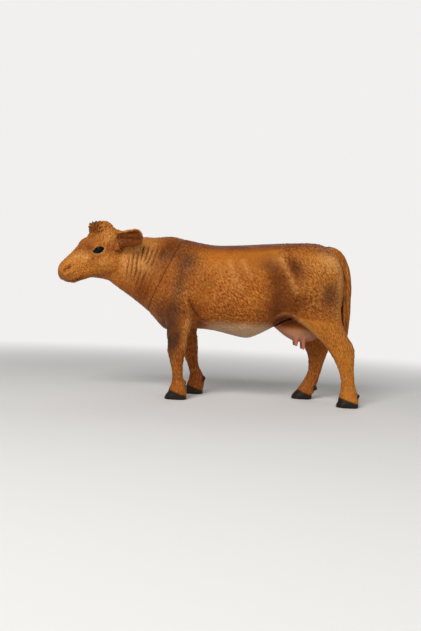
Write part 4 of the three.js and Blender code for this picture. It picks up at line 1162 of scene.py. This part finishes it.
# Which way the fine hair of each piece leans, in degrees, and how strong it is
finishes = {
    "torso": {"lean": -47, "hair": 1.0}, "head_and_neck": {"lean": -75, "hair": 0.75},
    "left_foreleg": {"lean": -84, "hair": 0.8}, "right_foreleg": {"lean": -84, "hair": 0.8},
    "left_hind_leg": {"lean": -70, "hair": 0.85}, "right_hind_leg": {"lean": -70, "hair": 0.85},
    "left_ear": {"lean": -20, "hair": 1.3}, "right_ear": {"lean": -20, "hair": 1.3},
    "tail": {"lean": -90, "hair": 1.0}, "udder": {"lean": 0, "hair": 0.25},
}


def paintedPlastic(name, setting):
    material = bpy.data.materials.new(name + "_paint")
    material.use_nodes = True
    tree = material.node_tree
    nodes, links = tree.nodes, tree.links
    shader = nodes["Principled BSDF"]

    def noise(scale, detail, vector):
        node = nodes.new("ShaderNodeTexNoise")
        node.inputs["Scale"].default_value = scale
        node.inputs["Detail"].default_value = detail
        links.new(vector, node.inputs["Vector"])
        return node.outputs["Fac"]

    def ranged(value, low, high, toLow, toHigh):
        node = nodes.new("ShaderNodeMapRange")
        node.inputs["From Min"].default_value = low
        node.inputs["From Max"].default_value = high
        node.inputs["To Min"].default_value = toLow
        node.inputs["To Max"].default_value = toHigh
        links.new(value, node.inputs["Value"])
        return node.outputs["Result"]

    def mathOf(operation, a, b):
        node = nodes.new("ShaderNodeMath")
        node.operation = operation
        node.use_clamp = operation == 'MULTIPLY'
        for socket, value in zip(node.inputs, (a, b)):
            if isinstance(value, (int, float)):
                socket.default_value = value
            else:
                links.new(value, socket)
        return node.outputs["Value"]

    def paint(attributeName):
        node = nodes.new("ShaderNodeAttribute")
        node.attribute_name = attributeName
        return node.outputs["Fac"]

    def over(below, colour, factor):
        node = nodes.new("ShaderNodeMix")
        node.data_type = 'RGBA'
        links.new(factor, node.inputs["Factor"])
        if isinstance(below, tuple):
            node.inputs["A"].default_value = (*below, 1)
        else:
            links.new(below, node.inputs["A"])
        node.inputs["B"].default_value = (*colour, 1)
        return node.outputs["Result"]

    place = nodes.new("ShaderNodeTexCoord").outputs["Object"]
    combed = nodes.new("ShaderNodeMapping")
    combed.vector_type = 'TEXTURE'
    combed.inputs["Rotation"].default_value = (0, -math.radians(setting["lean"]), 0)
    combed.inputs["Scale"].default_value = texture["combed"]
    links.new(place, combed.inputs["Vector"])
    hair = noise(*texture["hair"], combed.outputs["Vector"])
    cloud = noise(*texture["cloud"], place)
    grain = noise(*texture["grain"], place)
    speck = noise(*texture["speck"], place)

    # each coat thins out in a grainy edge, as spray does
    def coat(below, name):
        most = 1 + grainy[name] * mixing["grainsAdd"]
        level = mathOf('MULTIPLY', paint(name), ranged(grain, *mixing["grains"], 1 - grainy[name], most))
        return over(below, colours[name], mathOf('MULTIPLY', level, ranged(cloud, *mixing["clouds"])))

    # painted shade in the strokes or painted highlights on the tips of the hair, as strong as the piece's own
    # hair and the roughness of the coat there
    def hairShare(name):
        low, high, least, most = mixing[name]
        return mathOf('MULTIPLY', ranged(hair, low, high, least, most * setting["hair"]), paint("rough"))

    colour = over(colours["base"], colours["deep"], ranged(cloud, *mixing["deep"]))
    colour = over(colour, colours["ochre"], ranged(speck, *mixing["specks"]))
    colour = coat(colour, "ochre")
    colour = coat(colour, "pale")
    # painted highlights on the ridges
    colour = over(colour, colours["dry"], ranged(paint("crease"), *mixing["dryRidges"]))
    colour = coat(colour, "rust")
    # dark wash in the hollows, which is painted shade as well
    hollow = ranged(paint("crease"), *mixing["wash"])
    colour = over(colour, colours["wash"], hollow)
    # painted shade in the strokes of the fine hair
    colour = over(colour, colours["wash"], hairShare("strokes"))
    colour = coat(colour, "umber")
    colour = coat(colour, "smoke")
    # painted highlights on the tips of the fine hair, weaker in the dark coats
    dark = mathOf('ADD', paint("umber"), mathOf('MULTIPLY', paint("smoke"), mixing["smokeInTips"]))
    tips = mathOf('MULTIPLY', hairShare("tips"), ranged(dark, *mixing["tipsInDark"]))
    colour = over(colour, colours["dry"], tips)
    colour = coat(colour, "cream")
    colour = coat(colour, "pink")
    # the same wash and painted shade in the hollows of the cream
    inCream = ranged(paint("cream"), *mixing["washInCream"])
    colour = over(colour, colours["wash"], mathOf('MULTIPLY', hollow, inCream))
    colour = over(colour, colours["hoof"], paint("hoof"))
    colour = over(colour, colours["eye"], paint("eye"))
    links.new(colour, shader.inputs["Base Color"])

    uneven = mathOf('ADD', cloud, mathOf('MULTIPLY', grain, sheen["grain"]))
    smoother = mathOf('MULTIPLY', paint("eye"), sheen["eye"])
    dull = mathOf('SUBTRACT', ranged(uneven, *sheen["roughness"]), smoother)
    links.new(dull, shader.inputs["Roughness"])
    shader.inputs["Specular IOR Level"].default_value = sheen["level"]
    shader.inputs["Specular Tint"].default_value = sheen["tint"]
    coatOfHair = mathOf('MULTIPLY', hair, ranged(paint("eye"), 0, 1, setting["hair"], 0))
    height = mathOf('ADD', coatOfHair, mathOf('MULTIPLY', grain, texture["grainHeight"]))
    bump = nodes.new("ShaderNodeBump")
    bump.inputs["Strength"].default_value = texture["bump"]
    bump.inputs["Distance"].default_value = texture["bumpHeight"]
    links.new(height, bump.inputs["Height"])
    links.new(bump.outputs["Normal"], shader.inputs["Normal"])
    return material


eyeGloss = {"roughness": 0.1, "level": 0.12}


def glossyEye():
    material = bpy.data.materials.new("eye_gloss")
    material.use_nodes = True
    shader = material.node_tree.nodes["Principled BSDF"]
    shader.inputs["Base Color"].default_value = (*colours["eye"], 1)
    shader.inputs["Roughness"].default_value = eyeGloss["roughness"]
    shader.inputs["Specular IOR Level"].default_value = eyeGloss["level"]
    return material


skin.vertex_groups.clear()
skin.data.materials.clear()
for name in pieceNames:
    skin.data.materials.append(paintedPlastic(name, finishes[name]))
skin.data.polygons.foreach_set("material_index", faceOwner)
skin.data.update()
only(skin)
bpy.ops.object.mode_set(mode='EDIT')
bpy.ops.mesh.select_all(action='SELECT')
bpy.ops.mesh.separate(type='MATERIAL')
bpy.ops.object.mode_set(mode='OBJECT')
parted = [thing for thing in bpy.context.selected_objects if thing.type == 'MESH']
for thing in parted:
    name = thing.data.materials[0].name[:-len("_paint")]
    thing.name = name + "_painted"
    thing.data.name = name + "_painted"
    only(thing)
    bpy.ops.object.mode_set(mode='EDIT')
    bpy.ops.mesh.select_mode(type='EDGE')
    bpy.ops.mesh.select_all(action='DESELECT')
    bpy.ops.mesh.select_non_manifold(
        extend=False, use_wire=False, use_boundary=True, use_multi_face=False, use_non_contiguous=False,
        use_verts=False)
    bpy.ops.mesh.mark_sharp()
    bpy.ops.mesh.fill_holes(sides=0)
    bpy.ops.mesh.select_mode(type='VERT')
    bpy.ops.mesh.select_all(action='DESELECT')
    bpy.ops.object.mode_set(mode='OBJECT')
    thing.data.polygons.foreach_set("use_smooth", np.ones(len(thing.data.polygons), bool))
    if name == "head_and_neck":
        thing.data.materials.append(glossyEye())
        blackness = thing.data.attributes["eye"].data
        for face in thing.data.polygons:
            face.material_index = int(all(blackness[i].value > 0.5 for i in face.vertices))
    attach(thing, "root")
    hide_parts(name)
    print("piece:", thing.name, len(thing.data.vertices), "vertices")

bpy.context.view_layer.update()
